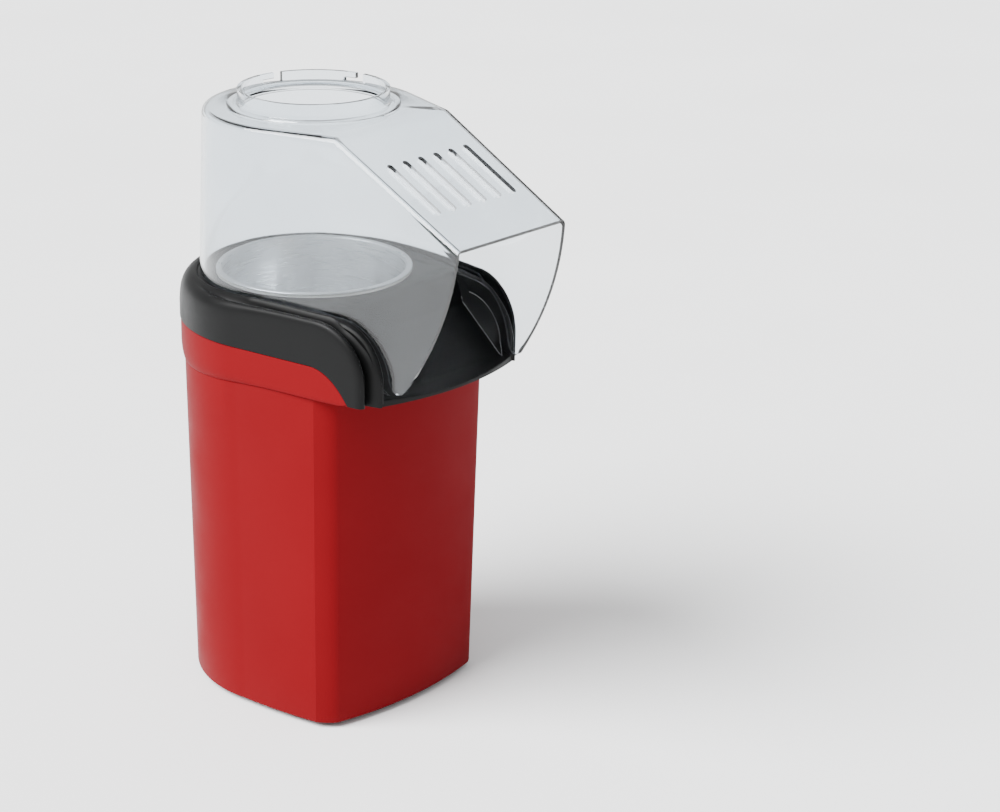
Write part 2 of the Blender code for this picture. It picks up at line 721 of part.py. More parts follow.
def build_heater():
    half = MICA_THICK / 2
    reach = DUCT_RADIUS - DUCT_WALL - MICA_SLEEVE - 2 * GAP - 0.2
    plate = block((-reach, -half, HEATER_BOTTOM), (reach, half, HEATER_TOP))
    frame = add_object("mica_frame", plate, MATERIALS["mica"])
    add(frame, block((-half, -reach, HEATER_BOTTOM), (half, reach, HEATER_TOP)), "second_plate")
    low, high = HEATER_BOTTOM + 3, HEATER_TOP - 3
    near, far = COIL_RADIUS - 2, COIL_RADIUS + 2
    cut(frame, lathe([(near, low), (far, low), (far, high), (near, high)], steps=24), "coil_slots")
    turn_steps = 20
    clear = 2.5
    rise = (high - low - 2 * clear) / COIL_TURNS
    points = []
    for i in range(COIL_TURNS * turn_steps + 1):
        a = math.tau * i / turn_steps
        z = low + clear + rise * i / turn_steps
        points.append((COIL_RADIUS * math.cos(a), COIL_RADIUS * math.sin(a), z))
    wire("heating_coil", points, COIL_WIRE, MATERIALS["heater_wire"], sides=1)
    back = DUCT_RADIUS + GAP + 0.4
    thermostat = cylinder(7.0, back, back + 5.0, steps=20)
    add_object("thermostat", along_y(thermostat, THERMOSTAT_Z), MATERIALS["steel"])
    across = Matrix.Translation((0, back + 2.5, FUSE_Z)) @ Matrix.Rotation(math.radians(90), 4, "Y")
    add_object("thermal_fuse", turned(cylinder(1.8, -7, 7, steps=10), across), MATERIALS["steel"])


# Motor and fan ----------------------------------------------------------------------------------


def sector(near, far, low, high, middle, spread):
    """A block between two radii and two heights, centred on an angle in degrees."""
    outline = arc((0, 0), far, middle - spread, middle + spread, 6)
    outline += arc((0, 0), near, middle + spread, middle - spread, 6)
    return loft([(outline, low), (outline, high)])


def build_motor():
    can = cylinder(MOTOR_RADIUS, MOTOR_BOTTOM, MOTOR_TOP, steps=32)
    motor = add_object("motor", can, MATERIALS["steel"])
    add(motor, cylinder(7.5, MOTOR_BOTTOM - 3, MOTOR_BOTTOM + 1, steps=20), "end_cap")
    bores = [cylinder(SHAFT_RADIUS + GAP, MOTOR_TOP - 14, MOTOR_TOP + 2, steps=16)]
    for spot in MOTOR_SCREW_SPOTS:
        bores.append(cylinder(MOTOR_SCREW_HOLE, MOTOR_TOP - 6, MOTOR_TOP + 2, spot, 10))
    cut(motor, joined(bores), "bores")
    low, high = MOTOR_TOP + GAP, DUCT_BOTTOM - GAP
    mount = add_object("motor_mount", cylinder(DUCT_FLANGE, low, high, steps=36), MATERIALS["steel"])
    windows = [sector(22, 44, low - 1, high + 1, 90 * i, 30) for i in range(4)]
    cut(mount, joined(windows), "windows")
    holes = [cylinder(SCREW_HOLE, low - 1, high + 1, spot, 10) for spot in POST_SPOTS]
    holes += [cylinder(MOTOR_SCREW_HOLE, low - 1, high + 1, spot, 10) for spot in MOTOR_SCREW_SPOTS]
    cut(mount, joined(holes + [cylinder(4, low - 1, high + 1, steps=16)]), "holes")


def screw(name, spot, head, head_radius, tip, shank_radius):
    """A pan-head screw: its head between two heights and its shank reaching up or down to the tip."""
    under, top = head if tip < head[0] else (head[1], head[0])
    profile = [
        (0, tip),
        (shank_radius, tip),
        (shank_radius, under),
        (head_radius, under),
        (head_radius, top),
        (0, top),
    ]
    add_object(name, lathe(profile, 12), MATERIALS["bright_steel"], (*spot, 0))


def build_screws():
    for i, spot in enumerate(POST_SPOTS):
        low = DUCT_BOTTOM + FLANGE_THICK + GAP
        screw(f"duct_screw_{i + 1}", spot, (low, low + 1.8), 2.6, POST_TOP - 9, SCREW_HOLE - GAP)
    for i, spot in enumerate(MOTOR_SCREW_SPOTS):
        low = DUCT_BOTTOM
        screw(f"motor_screw_{i + 1}", spot, (low, low + 1.5), 2.4, MOTOR_TOP - 5, MOTOR_SCREW_HOLE - GAP)
    for i, spot in enumerate(FOOT_SPOTS):
        screw(f"base_screw_{i + 1}", spot, (-0.9, BASE_LOW - GAP), 2.5, BASE_TOP + 7, 1.3)


def build_fan():
    """The shaft and the impeller, with their origins on the spin axis."""
    tip = FAN_TOP - 4
    shaft = cylinder(SHAFT_RADIUS, MOTOR_TOP - 13, tip, steps=16)
    add_object("motor_shaft", shaft, MATERIALS["bright_steel"])
    disc_top = FAN_BOTTOM + DISC_THICK
    disc = [(0, FAN_BOTTOM), (FAN_RADIUS, FAN_BOTTOM), (FAN_RADIUS, disc_top)]
    hub = [(HUB_RADIUS + 1, disc_top), (HUB_RADIUS, FAN_TOP), (0, FAN_TOP)]
    fan = add_object("fan_impeller", lathe(disc + hub, 36), MATERIALS["fan_plastic"])
    sweep = arc((HUB_RADIUS - 1, BLADE_BEND), BLADE_BEND, -90, -25, 6)
    outline = sweep + [(x, y + DISC_THICK) for x, y in reversed(sweep)]
    outline = [point for point in outline if math.hypot(*point) < FAN_RADIUS - 0.5]
    blades = []
    for i in range(BLADES):
        blade = loft([(outline, FAN_BOTTOM + DISC_THICK / 2), (outline, FAN_TOP - 1)])
        blades.append(turned(blade, Matrix.Rotation(math.tau * i / BLADES, 4, "Z")))
    add(fan, joined(blades), "blades")
    cut(fan, cylinder(SHAFT_RADIUS + GAP, FAN_BOTTOM - 1, tip + GAP, steps=16), "bore")


# Rear controls ----------------------------------------------------------------------------------


def switch_block(wide, tall, near, far):
    return block((-wide / 2, near, SWITCH_Z - tall / 2), (wide / 2, far, SWITCH_Z + tall / 2))


def build_switch():
    face = SHELL_RADIUS + SHELL_DRAFT * SWITCH_Z + GAP
    flange = switch_block(SWITCH_WIDE + 4, SWITCH_TALL + 4, face, face + 1.6)
    bezel = add_object("switch_bezel", flange, MATERIALS["black_plastic"])
    add(bezel, switch_block(SWITCH_WIDE - 2 * GAP, SWITCH_TALL - 2 * GAP, face - 14, face + 0.5), "body")
    well_wide, well_tall = SWITCH_WIDE - BEZEL_RIM, SWITCH_TALL - BEZEL_RIM
    cut(bezel, switch_block(well_wide, well_tall, face - 8, face + MARGIN), "well")
    tabs = [block((-1, face - 20, SWITCH_Z + z - 3), (0, face - 13, SWITCH_Z + z + 3)) for z in (-5, 5)]
    add(bezel, joined(tabs), "terminals")
    half = well_tall / 2 - 0.8
    lean = math.radians(ROCKER_LEAN)
    waist = ROCKER_FRONT - half * math.tan(lean)
    profile = [
        (ROCKER_BACK, -half * 0.6),
        (ROCKER_FRONT, -half),
        (waist, 0),
        (ROCKER_FRONT, half),
        (ROCKER_BACK, half * 0.6),
    ]
    rocker = turned(side_prism(profile, well_wide / 2 - 0.4), Matrix.Rotation(lean, 4, "X"))
    add_object("switch_rocker", rocker, MATERIALS["black_gloss"], (0, face - 0.5, SWITCH_Z))


def build_inlet():
    """The bush that the lead comes in through."""
    face = SHELL_RADIUS + SHELL_DRAFT * INLET_Z + GAP
    inside, outside, shoulder = face - 6, face + 2.6, INLET_RADIUS - GAP
    neck = [(INLET_BORE, inside), (shoulder, inside), (shoulder, face)]
    profile = neck + [(INLET_RADIUS + 2, face), (INLET_RADIUS + 1, outside), (INLET_BORE, outside)]
    add_object("lead_inlet", along_y(lathe(profile, 20), INLET_Z), MATERIALS["black_plastic"])


# Base -------------------------------------------------------------------------------------------


def build_base():
    outline = shell_outline(0, SHELL_WALL + GAP)
    plate = loft([(outline, BASE_LOW), (outline, BASE_TOP)])
    base = add_object("base_plate", plate, MATERIALS["black_plastic"])
    posts = [cylinder(POST_RADIUS, BASE_TOP - 1, POST_TOP, spot, 12) for spot in POST_SPOTS]
    posts += [cylinder(2.2, BASE_TOP - 1, BOARD_LOW - GAP, spot, 10) for spot in BOARD_PEGS]
    posts += [cylinder(4.0, BASE_TOP - 1, BASE_TOP + 9, spot, 12) for spot in FOOT_SPOTS]
    add(base, joined(posts), "posts")
    holes = [cylinder(SCREW_HOLE - 0.2, POST_TOP - 10, POST_TOP + 1, spot, 10) for spot in POST_SPOTS]
    holes += [cylinder(1.6, BASE_LOW - 1, BASE_TOP + 7.5, spot, 10) for spot in FOOT_SPOTS]
    cut(base, joined(holes), "screw_holes")
    bars = []
    for i in range(INTAKE_SLOTS):
        x = (i - (INTAKE_SLOTS - 1) / 2) * INTAKE_PITCH
        reach = math.sqrt(INTAKE_RADIUS**2 - x**2)
        bars.append(block((x - INTAKE_HALF, -reach, BASE_LOW - 1), (x + INTAKE_HALF, reach, BASE_TOP + 1)))
    cut(base, joined(bars), "intake")


def build_feet():
    top = BASE_LOW - GAP
    ring = [(FOOT_BORE, -FOOT_RISE), (FOOT_RADIUS - 0.8, -FOOT_RISE), (FOOT_RADIUS, -FOOT_RISE + 1)]
    for i, spot in enumerate(FOOT_SPOTS):
        foot = lathe(ring + [(FOOT_RADIUS, top), (FOOT_BORE, top)], 20)
        add_object(f"foot_{i + 1}", foot, MATERIALS["rubber"], (*spot, 0))


def build_board():
    x, y = BOARD_CENTRE
    board = block((x - 19, y - 11, BOARD_LOW), (x + 19, y + 11, BOARD_LOW + BOARD_THICK))
    add_object("circuit_board", board, MATERIALS["board"])
    top = BOARD_LOW + BOARD_THICK + GAP
    bridge = block((x - 14, y - 2, top), (x + 2, y + 2, top + 11))
    add_object("bridge_rectifier", bridge, MATERIALS["black_gloss"])
    add_object("capacitor", cylinder(4, top, top + 9, (x + 11, y), 16), MATERIALS["blue_sleeve"])


def build_leads():
    """Short insulated leads inside the shell, from the inlet to the switch, the board and the heater."""
    back = SHELL_RADIUS
    on_board = BOARD_LOW + BOARD_THICK + 1.6
    routes = {
        "lead_to_switch": [
            (0, back - 8, INLET_Z),
            (5, back - 14, 17),
            (8, back - 20, 26),
            (3, back - 23, 33),
            (-0.5, back - 21.5, 35),
        ],
        "lead_to_board": [
            (-0.5, back - 21.5, 45),
            (-14, back - 27, 44),
            (-26, 10, 30),
            (-24, -20, 20),
            (-17, -38, on_board),
        ],
        "lead_to_motor": [(5, -32, on_board), (6, -26, 15), (5, -16, 20), (4, -8, 20.8)],
        "lead_to_heater": [
            (17, -38, on_board),
            (27, -28, 22),
            (36, -18, 40),
            (39, -12, 56),
            (38.5, -10, 60.5),
        ],
    }
    for name, route in routes.items():
        wire(name, smooth_path(route, 5), LEAD_RADIUS, MATERIALS["lead_sleeve"])


def make_materials():
    return {
        "cutter": make_material("cutter", (0.8, 0.8, 0.8), 0.5),
        "red_shell": make_material("red_shell", (0.50, 0.035, 0.04), 0.35),
        "black_plastic": make_material("black_plastic", (0.025, 0.027, 0.028), 0.4),
        "black_gloss": make_material("black_gloss", (0.02, 0.02, 0.02), 0.2),
        "clear_plastic": make_material("clear_plastic", (0.9, 0.92, 0.94), 0.05, alpha=0.25),
        "aluminium": make_material("aluminium", (0.75, 0.76, 0.77), 0.35, 1.0),
        "steel": make_material("steel", (0.5, 0.51, 0.52), 0.4, 1.0),
        "bright_steel": make_material("bright_steel", (0.7, 0.7, 0.7), 0.25, 1.0),
        "silicone": make_material("silicone", (0.6, 0.6, 0.58), 0.7),
        "mica": make_material("mica", (0.62, 0.52, 0.38), 0.55),
        "heater_wire": make_material("heater_wire", (0.35, 0.33, 0.31), 0.45, 1.0),
        "fan_plastic": make_material("fan_plastic", (0.12, 0.12, 0.125), 0.5),
        "rubber": make_material("rubber", (0.03, 0.03, 0.03), 0.8),
        "board": make_material("board", (0.05, 0.22, 0.09), 0.5),
        "blue_sleeve": make_material("blue_sleeve", (0.04, 0.09, 0.3), 0.35),
        "lead_sleeve": make_material("lead_sleeve", (0.75, 0.75, 0.72), 0.5),
    }


def build_all():
    build_body_shell()
    build_collar()
    build_chute_deck()
    build_cover()
    build_chamber()
    build_air_duct()
    build_heater()
    build_motor()
    build_fan()
    build_screws()
    build_switch()
    build_inlet()
    build_base()
    build_feet()
    build_board()
    build_leads()


clear_scene()
MATERIALS = make_materials()
ROOT = bpy.data.objects.new("popcorn_maker", None)
bpy.context.scene.collection.objects.link(ROOT)
ROOT.location = (0, CHAMBER_Y * MM, FOOT_RISE * MM)
build_all()
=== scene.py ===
import json
import math

import bmesh
import bpy
from mathutils import Matrix, Vector


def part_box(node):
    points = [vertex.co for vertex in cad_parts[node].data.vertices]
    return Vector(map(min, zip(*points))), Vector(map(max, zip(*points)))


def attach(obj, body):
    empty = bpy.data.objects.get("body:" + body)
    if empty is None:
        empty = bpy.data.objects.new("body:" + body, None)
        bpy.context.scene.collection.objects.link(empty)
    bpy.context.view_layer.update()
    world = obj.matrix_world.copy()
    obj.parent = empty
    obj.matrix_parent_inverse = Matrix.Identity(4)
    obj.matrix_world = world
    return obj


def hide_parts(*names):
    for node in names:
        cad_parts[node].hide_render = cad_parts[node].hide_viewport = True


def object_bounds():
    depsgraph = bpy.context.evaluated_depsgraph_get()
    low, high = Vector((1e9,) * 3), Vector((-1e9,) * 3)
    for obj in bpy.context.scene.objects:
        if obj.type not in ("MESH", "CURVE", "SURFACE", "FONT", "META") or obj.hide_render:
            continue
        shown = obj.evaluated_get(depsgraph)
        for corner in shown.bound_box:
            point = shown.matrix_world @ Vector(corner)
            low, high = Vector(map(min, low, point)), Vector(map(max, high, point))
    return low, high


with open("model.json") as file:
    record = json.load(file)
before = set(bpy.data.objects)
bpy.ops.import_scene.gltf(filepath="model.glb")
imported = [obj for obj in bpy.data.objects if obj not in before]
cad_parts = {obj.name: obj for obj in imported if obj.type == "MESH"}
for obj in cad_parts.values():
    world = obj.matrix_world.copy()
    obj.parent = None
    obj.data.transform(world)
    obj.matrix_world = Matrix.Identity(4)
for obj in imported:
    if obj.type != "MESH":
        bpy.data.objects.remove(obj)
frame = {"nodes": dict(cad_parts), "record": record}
cad_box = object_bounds()

MM = 0.001
chamber_low, chamber_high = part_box("popping_chamber")
# Shapes are drawn in millimetres from the chamber's axis and the shell's bottom edge, chute towards -Y
ORIGIN = (chamber_low + chamber_high) / 2
ORIGIN.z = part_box("body_shell")[0].z


def local_box(node):
    """A node's lowest and highest corners in those millimetres."""
    low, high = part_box(node)
    return (low - ORIGIN) / MM, (high - ORIGIN) / MM


collar_low, collar_high = local_box("top_collar")
DECK_TOP = local_box("chute_deck")[1].z
cover_low, cover_high = local_box("clear_cover")
bezel_low, bezel_high = local_box("switch_bezel")
rocker_low, rocker_high = local_box("switch_rocker")
inlet_low, inlet_high = local_box("lead_inlet")

GAP = 0.3
NECK_INSET = 2.4
REAR_REACH = collar_high.x
TOP_FRONT = -84.0
# A plan is (rear radius, half width at the front corner, y of the front)
TOP_PLAN = (REAR_REACH, 52.6, TOP_FRONT)
SHELL_PLAN = (60.0, 51.0, -59.0)
SHELL_BOW = 7.0
SHELL_CORNER = 6.5
CORNER_CRISP = 0.5
SHELL_DRAFT = 2.5 / 164.0
SHELL_WALL = 2.2
# (height, inset) of the rounded edge at the shell's foot
FOOT_EDGE = ((0.0, 1.1), (0.15, 0.5), (0.5, 0.15), (1.1, 0.0))
SHELL_SHARP = 18
BAND_INSET = 0.4
DUCT_WALL = 1.6
BAND_LEDGE = 165.0
REAR_LEDGE = 160.4
CREASE = 0.3
BAND_TOP = 181.0
# Share of the way from the shell's skin out to the band, and height above the ledge
CREASE_SIDE = ((0.0, 0.0), (0.43, 0.1), (0.7, 0.4), (0.87, 1.0), (0.97, 1.8), (1.0, 2.9))
CREASE_REAR = ((0.0, 0.0), (0.3, 0.9), (0.56, 2.5), (0.77, 4.4), (0.92, 6.6), (1.0, 9.0))
LOWER_EDGE = ((-54.0, BAND_TOP), (-66.0, BAND_TOP), (-75.5, 166.0))

COLLAR_LIP = collar_low.z
REAR_TOP = DECK_TOP + 0.6
CHEEK_CENTRE = (-57.0, 176.7)
CHEEK_RADIUS = 26.3
CHEEK_SHARE = 0.68
SKIRT = 2.4
# The collar's edge from its outer face inwards: (depth, height) at the round back and along the cheeks
EDGE_REAR = (
    (0.0, -14.0), (0.35, -9.8), (0.8, -7.2), (1.5, -5.1), (2.4, -3.5), (3.3, -2.4), (4.2, -1.6), (5.0, -1.0),
    (5.8, -0.6), (6.5, -0.3), (7.1, -0.1), (7.6, 0.0), (8.1, -0.1), (8.5, -0.4), (8.8, -0.9), (8.9, -6.5),
)
EDGE_FRONT = (
    (0.0, -3.4), (0.12, -2.2), (0.5, -1.1), (1.2, -0.35), (2.1, -0.05), (2.8, -0.3), (3.3, -1.2), (3.6, -2.8),
    (4.2, -5.4), (5.2, -5.8), (6.0, -5.0), (6.6, -2.6), (7.1, -0.6), (7.8, 0.0), (8.5, -0.6), (8.9, -6.0),
)
FIRST_RIB, LAST_RIB = 5.0, 8.7
RIB_FADE = 3.2
RIB_RISE = 1.2
COLLAR_WIDE = 8.9

DECK_THICK = 2.8
DECK_HOLE = 45.5
# (share of the way in to the mouth, height) over the deck, and the heights down the mouth's wall
DECK_SECTION = (
    (0, -1.2), (0.06, -0.3), (0.12, 0.0), (0.3, 0.0), (0.5, 0.0), (0.75, 0.0), (0.92, 0.0), (0.95, -0.1),
    (0.98, -0.4), (1.0, -0.9),
)
DECK_WALL = (-1.5, -1.55, -1.6, -1.7, -1.9, -2.1, -2.4, -DECK_THICK, -DECK_THICK - 0.05)
RAIL_CENTRE = (-61.0, 175.3)
RAIL_RADIUS = DECK_TOP - RAIL_CENTRE[1]
RAIL_SINK = 0.6
PANEL_RADIUS = 19.6
PANEL_BEAD = 0.24
PANEL_CORNER = (-86.4, 169.2)
CHUTE_FLOOR_HALF = 37.0
CHUTE_TOP_HALF = 42.0
CHUTE_END = 167.8
RAIL_SIDE = 45.4
FLAT_END = -47.0
# (y, z) of the chute floor's knee and of the end of its straight slope
KNEE = (-58.0, 189.6)
SLOPE_LOW = (-84.0, 170.9)
RUN_OUT = 15.0
# y of the panels' foot at the top of the slope, and of the last row before the lip
PANEL_TOP_Y = -57.0
LIP_START = -85.5
LIP_FRONT = -86.5
LIP_BOW = 7.6
LIP_HALF = 45.2

COVER_FOOT = DECK_TOP + GAP
COVER_WALL = 2.0
COVER_TOP = 282.0
HEIGHT = cover_high.z
FRONT_REACH = -cover_low.y
FOOT_PLAN = (54.5, 39.4, -95.0)
TOP_EDGE_PLAN = (51.9, 37.6, -51.0)
RING_RADIUS = 35.5
SLOPE_END = (-FRONT_REACH, 245.0)
SLOPE_END_HALF = 35.4
MOUTH_FOOT = (-97.5, 175.4)
MOUTH_BOW = 5.3
# (y, z) round the rounded tip of the cover's side, from the mouth's foot to the shoulder
COVER_TIP = (
    MOUTH_FOOT, (-96.6, 174.1), (-95.3, 173.1), (-93.6, 172.7), (-91.9, 172.95), (-90.5, 173.8),
    (-89.4, 175.2), (-88.8, 177.0),
)
SHOULDER_START = 7.0
STRAIGHT_START = -58.0
RING_FLANGE = (
    (33.8, COVER_TOP - 1.7), (40.0, COVER_TOP - 1.7), (40.4, COVER_TOP + 0.5), (40.2, COVER_TOP + 0.9),
    (39.8, COVER_TOP + 1.1), (34.6, COVER_TOP + 1.3),
)
NOTCH_TURNS = (-14.0, -84.0)
SLOTS = 6
SLOT_PITCH = 9.8
SLOT_WIDTH = 3.2
SLOT_SPAN = (0.29, 0.72)

VENTS = 16
# Width and height of the opening behind the rocker
OPENING = (12.4, 18.4)
WELL_DEEP = 8.0

# The camera's place and the direction behind it, fitted to the photo
CAMERA_PLACE = (-0.8051, -0.8052, 0.5709)
CAMERA_BACK = (-0.66605, -0.65945, 0.34857)
SUN_WAY = (0.64, -0.22, -0.73)


# Points


def mix(a, b, t):
    return a + (b - a) * t


def smoothstep(t):
    t = min(max(t, 0.0), 1.0)
    return t * t * (3 - 2 * t)


def rearness(y):
    """1 at the round back, 0 along the front half of the sides."""
    return smoothstep((y + 45.0) / 90.0)


def quadratic(points, t):
    start, pull, end = (Vector(p) for p in points)
    return start * (1 - t) ** 2 + pull * (2 * t * (1 - t)) + end * t**2


def on_circle(radius, a):
    return Vector((math.cos(a), math.sin(a))) * radius


def tangent(plan):
    """Angle at which the plan's side line meets its round back."""
    radius, half, front = plan
    return math.atan2(front, half) + math.acos(radius / math.hypot(half, front))


def half_width(plan, y):
    radius = plan[0]
    turn = tangent(plan)
    if y < radius * math.sin(turn):
        return (radius - y * math.sin(turn)) / math.cos(turn)
    return math.sqrt(max(radius**2 - y**2, 0.0))


def outline(plan, bow=0.0, corner=1.0, side_bow=0.0, crisp=1.0):
    """A plan's closed outline, anticlockwise from the front's left end.

    A crisp below 1 leaves an edge where the corner meets the side.
    """
    front_steps, corner_steps, side_steps, rear_steps = 20, 8, 30, 90
    radius, half, front = plan
    edge = half - corner
    line = []
    for i in range(front_steps + 1):
        x = mix(-edge, edge, i / front_steps)
        line.append(Vector((x, front - bow * (1 - (x / half) ** 2))))
    turn = tangent(plan)
    right = Vector((half, front))
    touch, outward = on_circle(radius, turn), on_circle(1.0, turn)
    length = (touch - right).length
    side = []
    for i in range(side_steps):
        t = mix(corner / length, 1.0, i / side_steps)
        side.append(right.lerp(touch, t) + outward * (side_bow * 4 * t * (1 - t)))
    pull = line[-1].lerp(right, crisp)
    fillet = [quadratic((line[-1], pull, side[0]), i / corner_steps) for i in range(1, corner_steps)]
    right_side = fillet + side
    left_side = [Vector((-p.x, p.y)) for p in reversed(right_side)]
    rear = [on_circle(radius, mix(turn, math.pi - turn, i / rear_steps)) for i in range(rear_steps + 1)]
    return line + right_side + rear + left_side


def shell_outline(z, inset=0.0):
    radius, half, front = SHELL_PLAN
    grow = SHELL_DRAFT * z - inset
    plan = (radius + grow, half + grow, front - grow)
    return outline(plan, SHELL_BOW, SHELL_CORNER - inset, 1.2, CORNER_CRISP)


def mirrored(sections):
    """Sections of the right half, from the front to the middle of the back, carried on down the left."""
    left = [[Vector((-p[0], p[1], p[2])) for p in section] for section in sections[:-1]]
    return sections + left[::-1]


# Meshes


def swept(sections, loop=False):
    """A closed solid through closed sections of equal length; its ends are capped unless it is a loop."""
    bm = bmesh.new()
    rings = [[bm.verts.new(p) for p in section] for section in sections]
    pairs = list(zip(rings, rings[1:]))
    if loop:
        pairs.append((rings[-1], rings[0]))
    for near, far in pairs:
        for i in range(len(near)):
            j = (i + 1) % len(near)
            bm.faces.new((near[i], near[j], far[j], far[i]))
    if not loop:
        bm.faces.new(rings[0])
        bm.faces.new(rings[-1])
    return bm


def lathe(profile, steps=96, centre=(0.0, 0.0)):
    """A closed (radius, z) profile turned about a vertical axis; it may start and end on the axis."""
    bm = bmesh.new()
    rings = []
    for radius, z in profile:
        if radius < 1e-6:
            rings.append([bm.verts.new((centre[0], centre[1], z))])
            continue
        ring = []
        for i in range(steps):
            a = math.tau * i / steps
            ring.append(bm.verts.new((centre[0] + radius * math.cos(a), centre[1] + radius * math.sin(a), z)))
        rings.append(ring)
    for low, high in zip(rings, rings[1:] + rings[:1]):
        if len(low) == 1 and len(high) == 1:
            continue
        for i in range(steps):
            j = (i + 1) % steps
            corners = [low[i % len(low)], low[j % len(low)], high[j % len(high)], high[i % len(high)]]
            bm.faces.new(list(dict.fromkeys(corners)))
    return bm


def block(low, high):
    bm = bmesh.new()
    low, high = Vector(low), Vector(high)
    size = Matrix.Diagonal((*(high - low), 1))
    bmesh.ops.create_cube(bm, size=1.0, matrix=Matrix.Translation((low + high) / 2) @ size)
    return bm


def turned(bm, matrix):
    bm.transform(matrix)
    return bm


def along_y(bm, z):
    """Lays a turned shape down, so that its axis runs towards +Y at the given height."""
    return turned(bm, Matrix.Translation((0, 0, z)) @ Matrix.Rotation(math.radians(-90), 4, "X"))


def new_object(name, bm, angle=35.0):
    """An object of a bmesh drawn in millimetres, with its normals out and smooth below the angle."""
    bmesh.ops.remove_doubles(bm, verts=bm.verts, dist=1e-3)
    bmesh.ops.recalc_face_normals(bm, faces=bm.faces)
    bm.transform(Matrix.Translation(ORIGIN) @ Matrix.Diagonal((MM, MM, MM, 1)))
    mesh = bpy.data.meshes.new(name)
    bm.to_mesh(mesh)
    bm.free()
    mesh.shade_smooth()
    mesh.set_sharp_from_angle(angle=math.radians(angle))
    obj = bpy.data.objects.new(name, mesh)
    bpy.context.scene.collection.objects.link(obj)
    return obj


def applied(obj, angle=35.0):
    """Gives the object the mesh that its modifiers make."""
    bpy.context.view_layer.update()
    graph = bpy.context.evaluated_depsgraph_get()
    mesh = bpy.data.meshes.new_from_object(obj.evaluated_get(graph))
    obj.modifiers.clear()
    obj.data = mesh
    mesh.shade_smooth()
    mesh.set_sharp_from_angle(angle=math.radians(angle))
    return obj


def boolean(obj, bm, operation="DIFFERENCE", angle=35.0):
    """Cuts a bmesh from the object, or joins it on."""
    other = new_object("tool", bm)
    modifier = obj.modifiers.new("boolean", "BOOLEAN")
    modifier.operation = operation
    modifier.object = other
    applied(obj, angle)
    bpy.data.objects.remove(other, do_unlink=True)
    return obj


def rounded(obj, width, segments=3, angle=35.0):
    """Rounds the object's sharp edges."""
    bevel = obj.modifiers.new("rounding", "BEVEL")
    bevel.width = width * MM
    bevel.segments = segments
    bevel.limit_method = "ANGLE"
    bevel.angle_limit = math.radians(angle)
    bevel.harden_normals = False
    return obj


def finish_piece(obj, slot, *nodes, look=None):
    """Gives a piece of the machine the material of its slot, or of its look, joins it to the machine and
    hides the CAD nodes that it stands for.
    """
    obj.data.materials.clear()
    obj.data.materials.append(MATERIALS[look or slot])
    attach(obj, "machine")
    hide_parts(*nodes)


# Red shell


def lower_edge_z(y):
    """Height of the collar's lower edge, which turns down over the front of the sides."""
    start, pull, end = LOWER_EDGE
    if y >= start[0]:
        return start[1]
    a = start[0] - 2 * pull[0] + end[0]
    b = 2 * (pull[0] - start[0])
    t = (-b - math.sqrt(max(b * b - 4 * a * (start[0] - y), 0.0))) / (2 * a)
    return quadratic(LOWER_EDGE, min(t, 1.0)).y


def band_outline():
    """The outline of the wider band at the top of the shell."""
    radius, half = REAR_REACH - BAND_INSET, TOP_PLAN[1] - BAND_INSET
    front = LOWER_EDGE[2][0]
    return outline((radius, half_width((radius, half, TOP_FRONT), front), front), side_bow=0.6)


def shell_section(i, bands):
    """Closed section of the shell's wall at one point of its outline, up the outside and down the inside."""
    point, ahead, behind = bands[i], bands[(i + 1) % len(bands)], bands[i - 1]
    inward = Vector((behind.y - ahead.y, ahead.x - behind.x)).normalized()
    back = rearness(point.y)
    level = LOWER_EDGE[2][1] if point.y <= LOWER_EDGE[2][0] + 0.01 else lower_edge_z(point.y)
    ledge = mix(BAND_LEDGE, REAR_LEDGE, back)
    section = [(*shell_outline(z, inset)[i], z) for z, inset in FOOT_EDGE]
    heights = [mix(FOOT_EDGE[-1][0], ledge - 0.5, k / 8) for k in range(1, 9)]
    section += [(*shell_outline(z)[i], z) for z in heights]
    skin = shell_outline(ledge)[i]
    for side, rear in zip(CREASE_SIDE, CREASE_REAR):
        share, rise = mix(side[0], rear[0], back), mix(side[1], rear[1], back)
        place = skin.lerp(point, share) + inward * (CREASE * (1 - back) if share < 0.01 else 0.0)
        section.append((*place, min(ledge + rise, level - 0.3)))
    low = section[-1][2]
    section += [(*point, mix(low, level, k / 3)) for k in (1, 2)] + [(*point, level - 0.15)]
    inner = shell_outline(ledge, SHELL_WALL)[i]
    section += [(*(point + inward * 0.2), level), (*(point + inward * SHELL_WALL), level)]
    section += [(*(point + inward * SHELL_WALL), level - 0.5), (*inner, min(ledge + 1.5, level - 0.6))]
    return section + [(*shell_outline(z, SHELL_WALL)[i], z) for z in (100.0, 50.0, 0.0)]


def make_shell():
    bands = band_outline()
    sections = [shell_section(i, bands) for i in range(len(bands))]
    shell = new_object("body_shell_fine", swept(sections, loop=True), SHELL_SHARP)
    half_wide, half_tall = (side / 2 + 0.4 for side in OPENING)
    middle = (bezel_low.z + bezel_high.z) / 2
    window = block((-half_wide, 50, middle - half_tall), (half_wide, 75, middle + half_tall))
    boolean(shell, window, angle=SHELL_SHARP)
    radius = inlet_high.x - NECK_INSET + GAP
    bore = lathe([(0, 45), (radius, 45), (radius, 75), (0, 75)], 48)
    boolean(shell, along_y(bore, (inlet_low.z + inlet_high.z) / 2), angle=SHELL_SHARP)
    finish_piece(shell, "red_shell", "body_shell")


# Collar


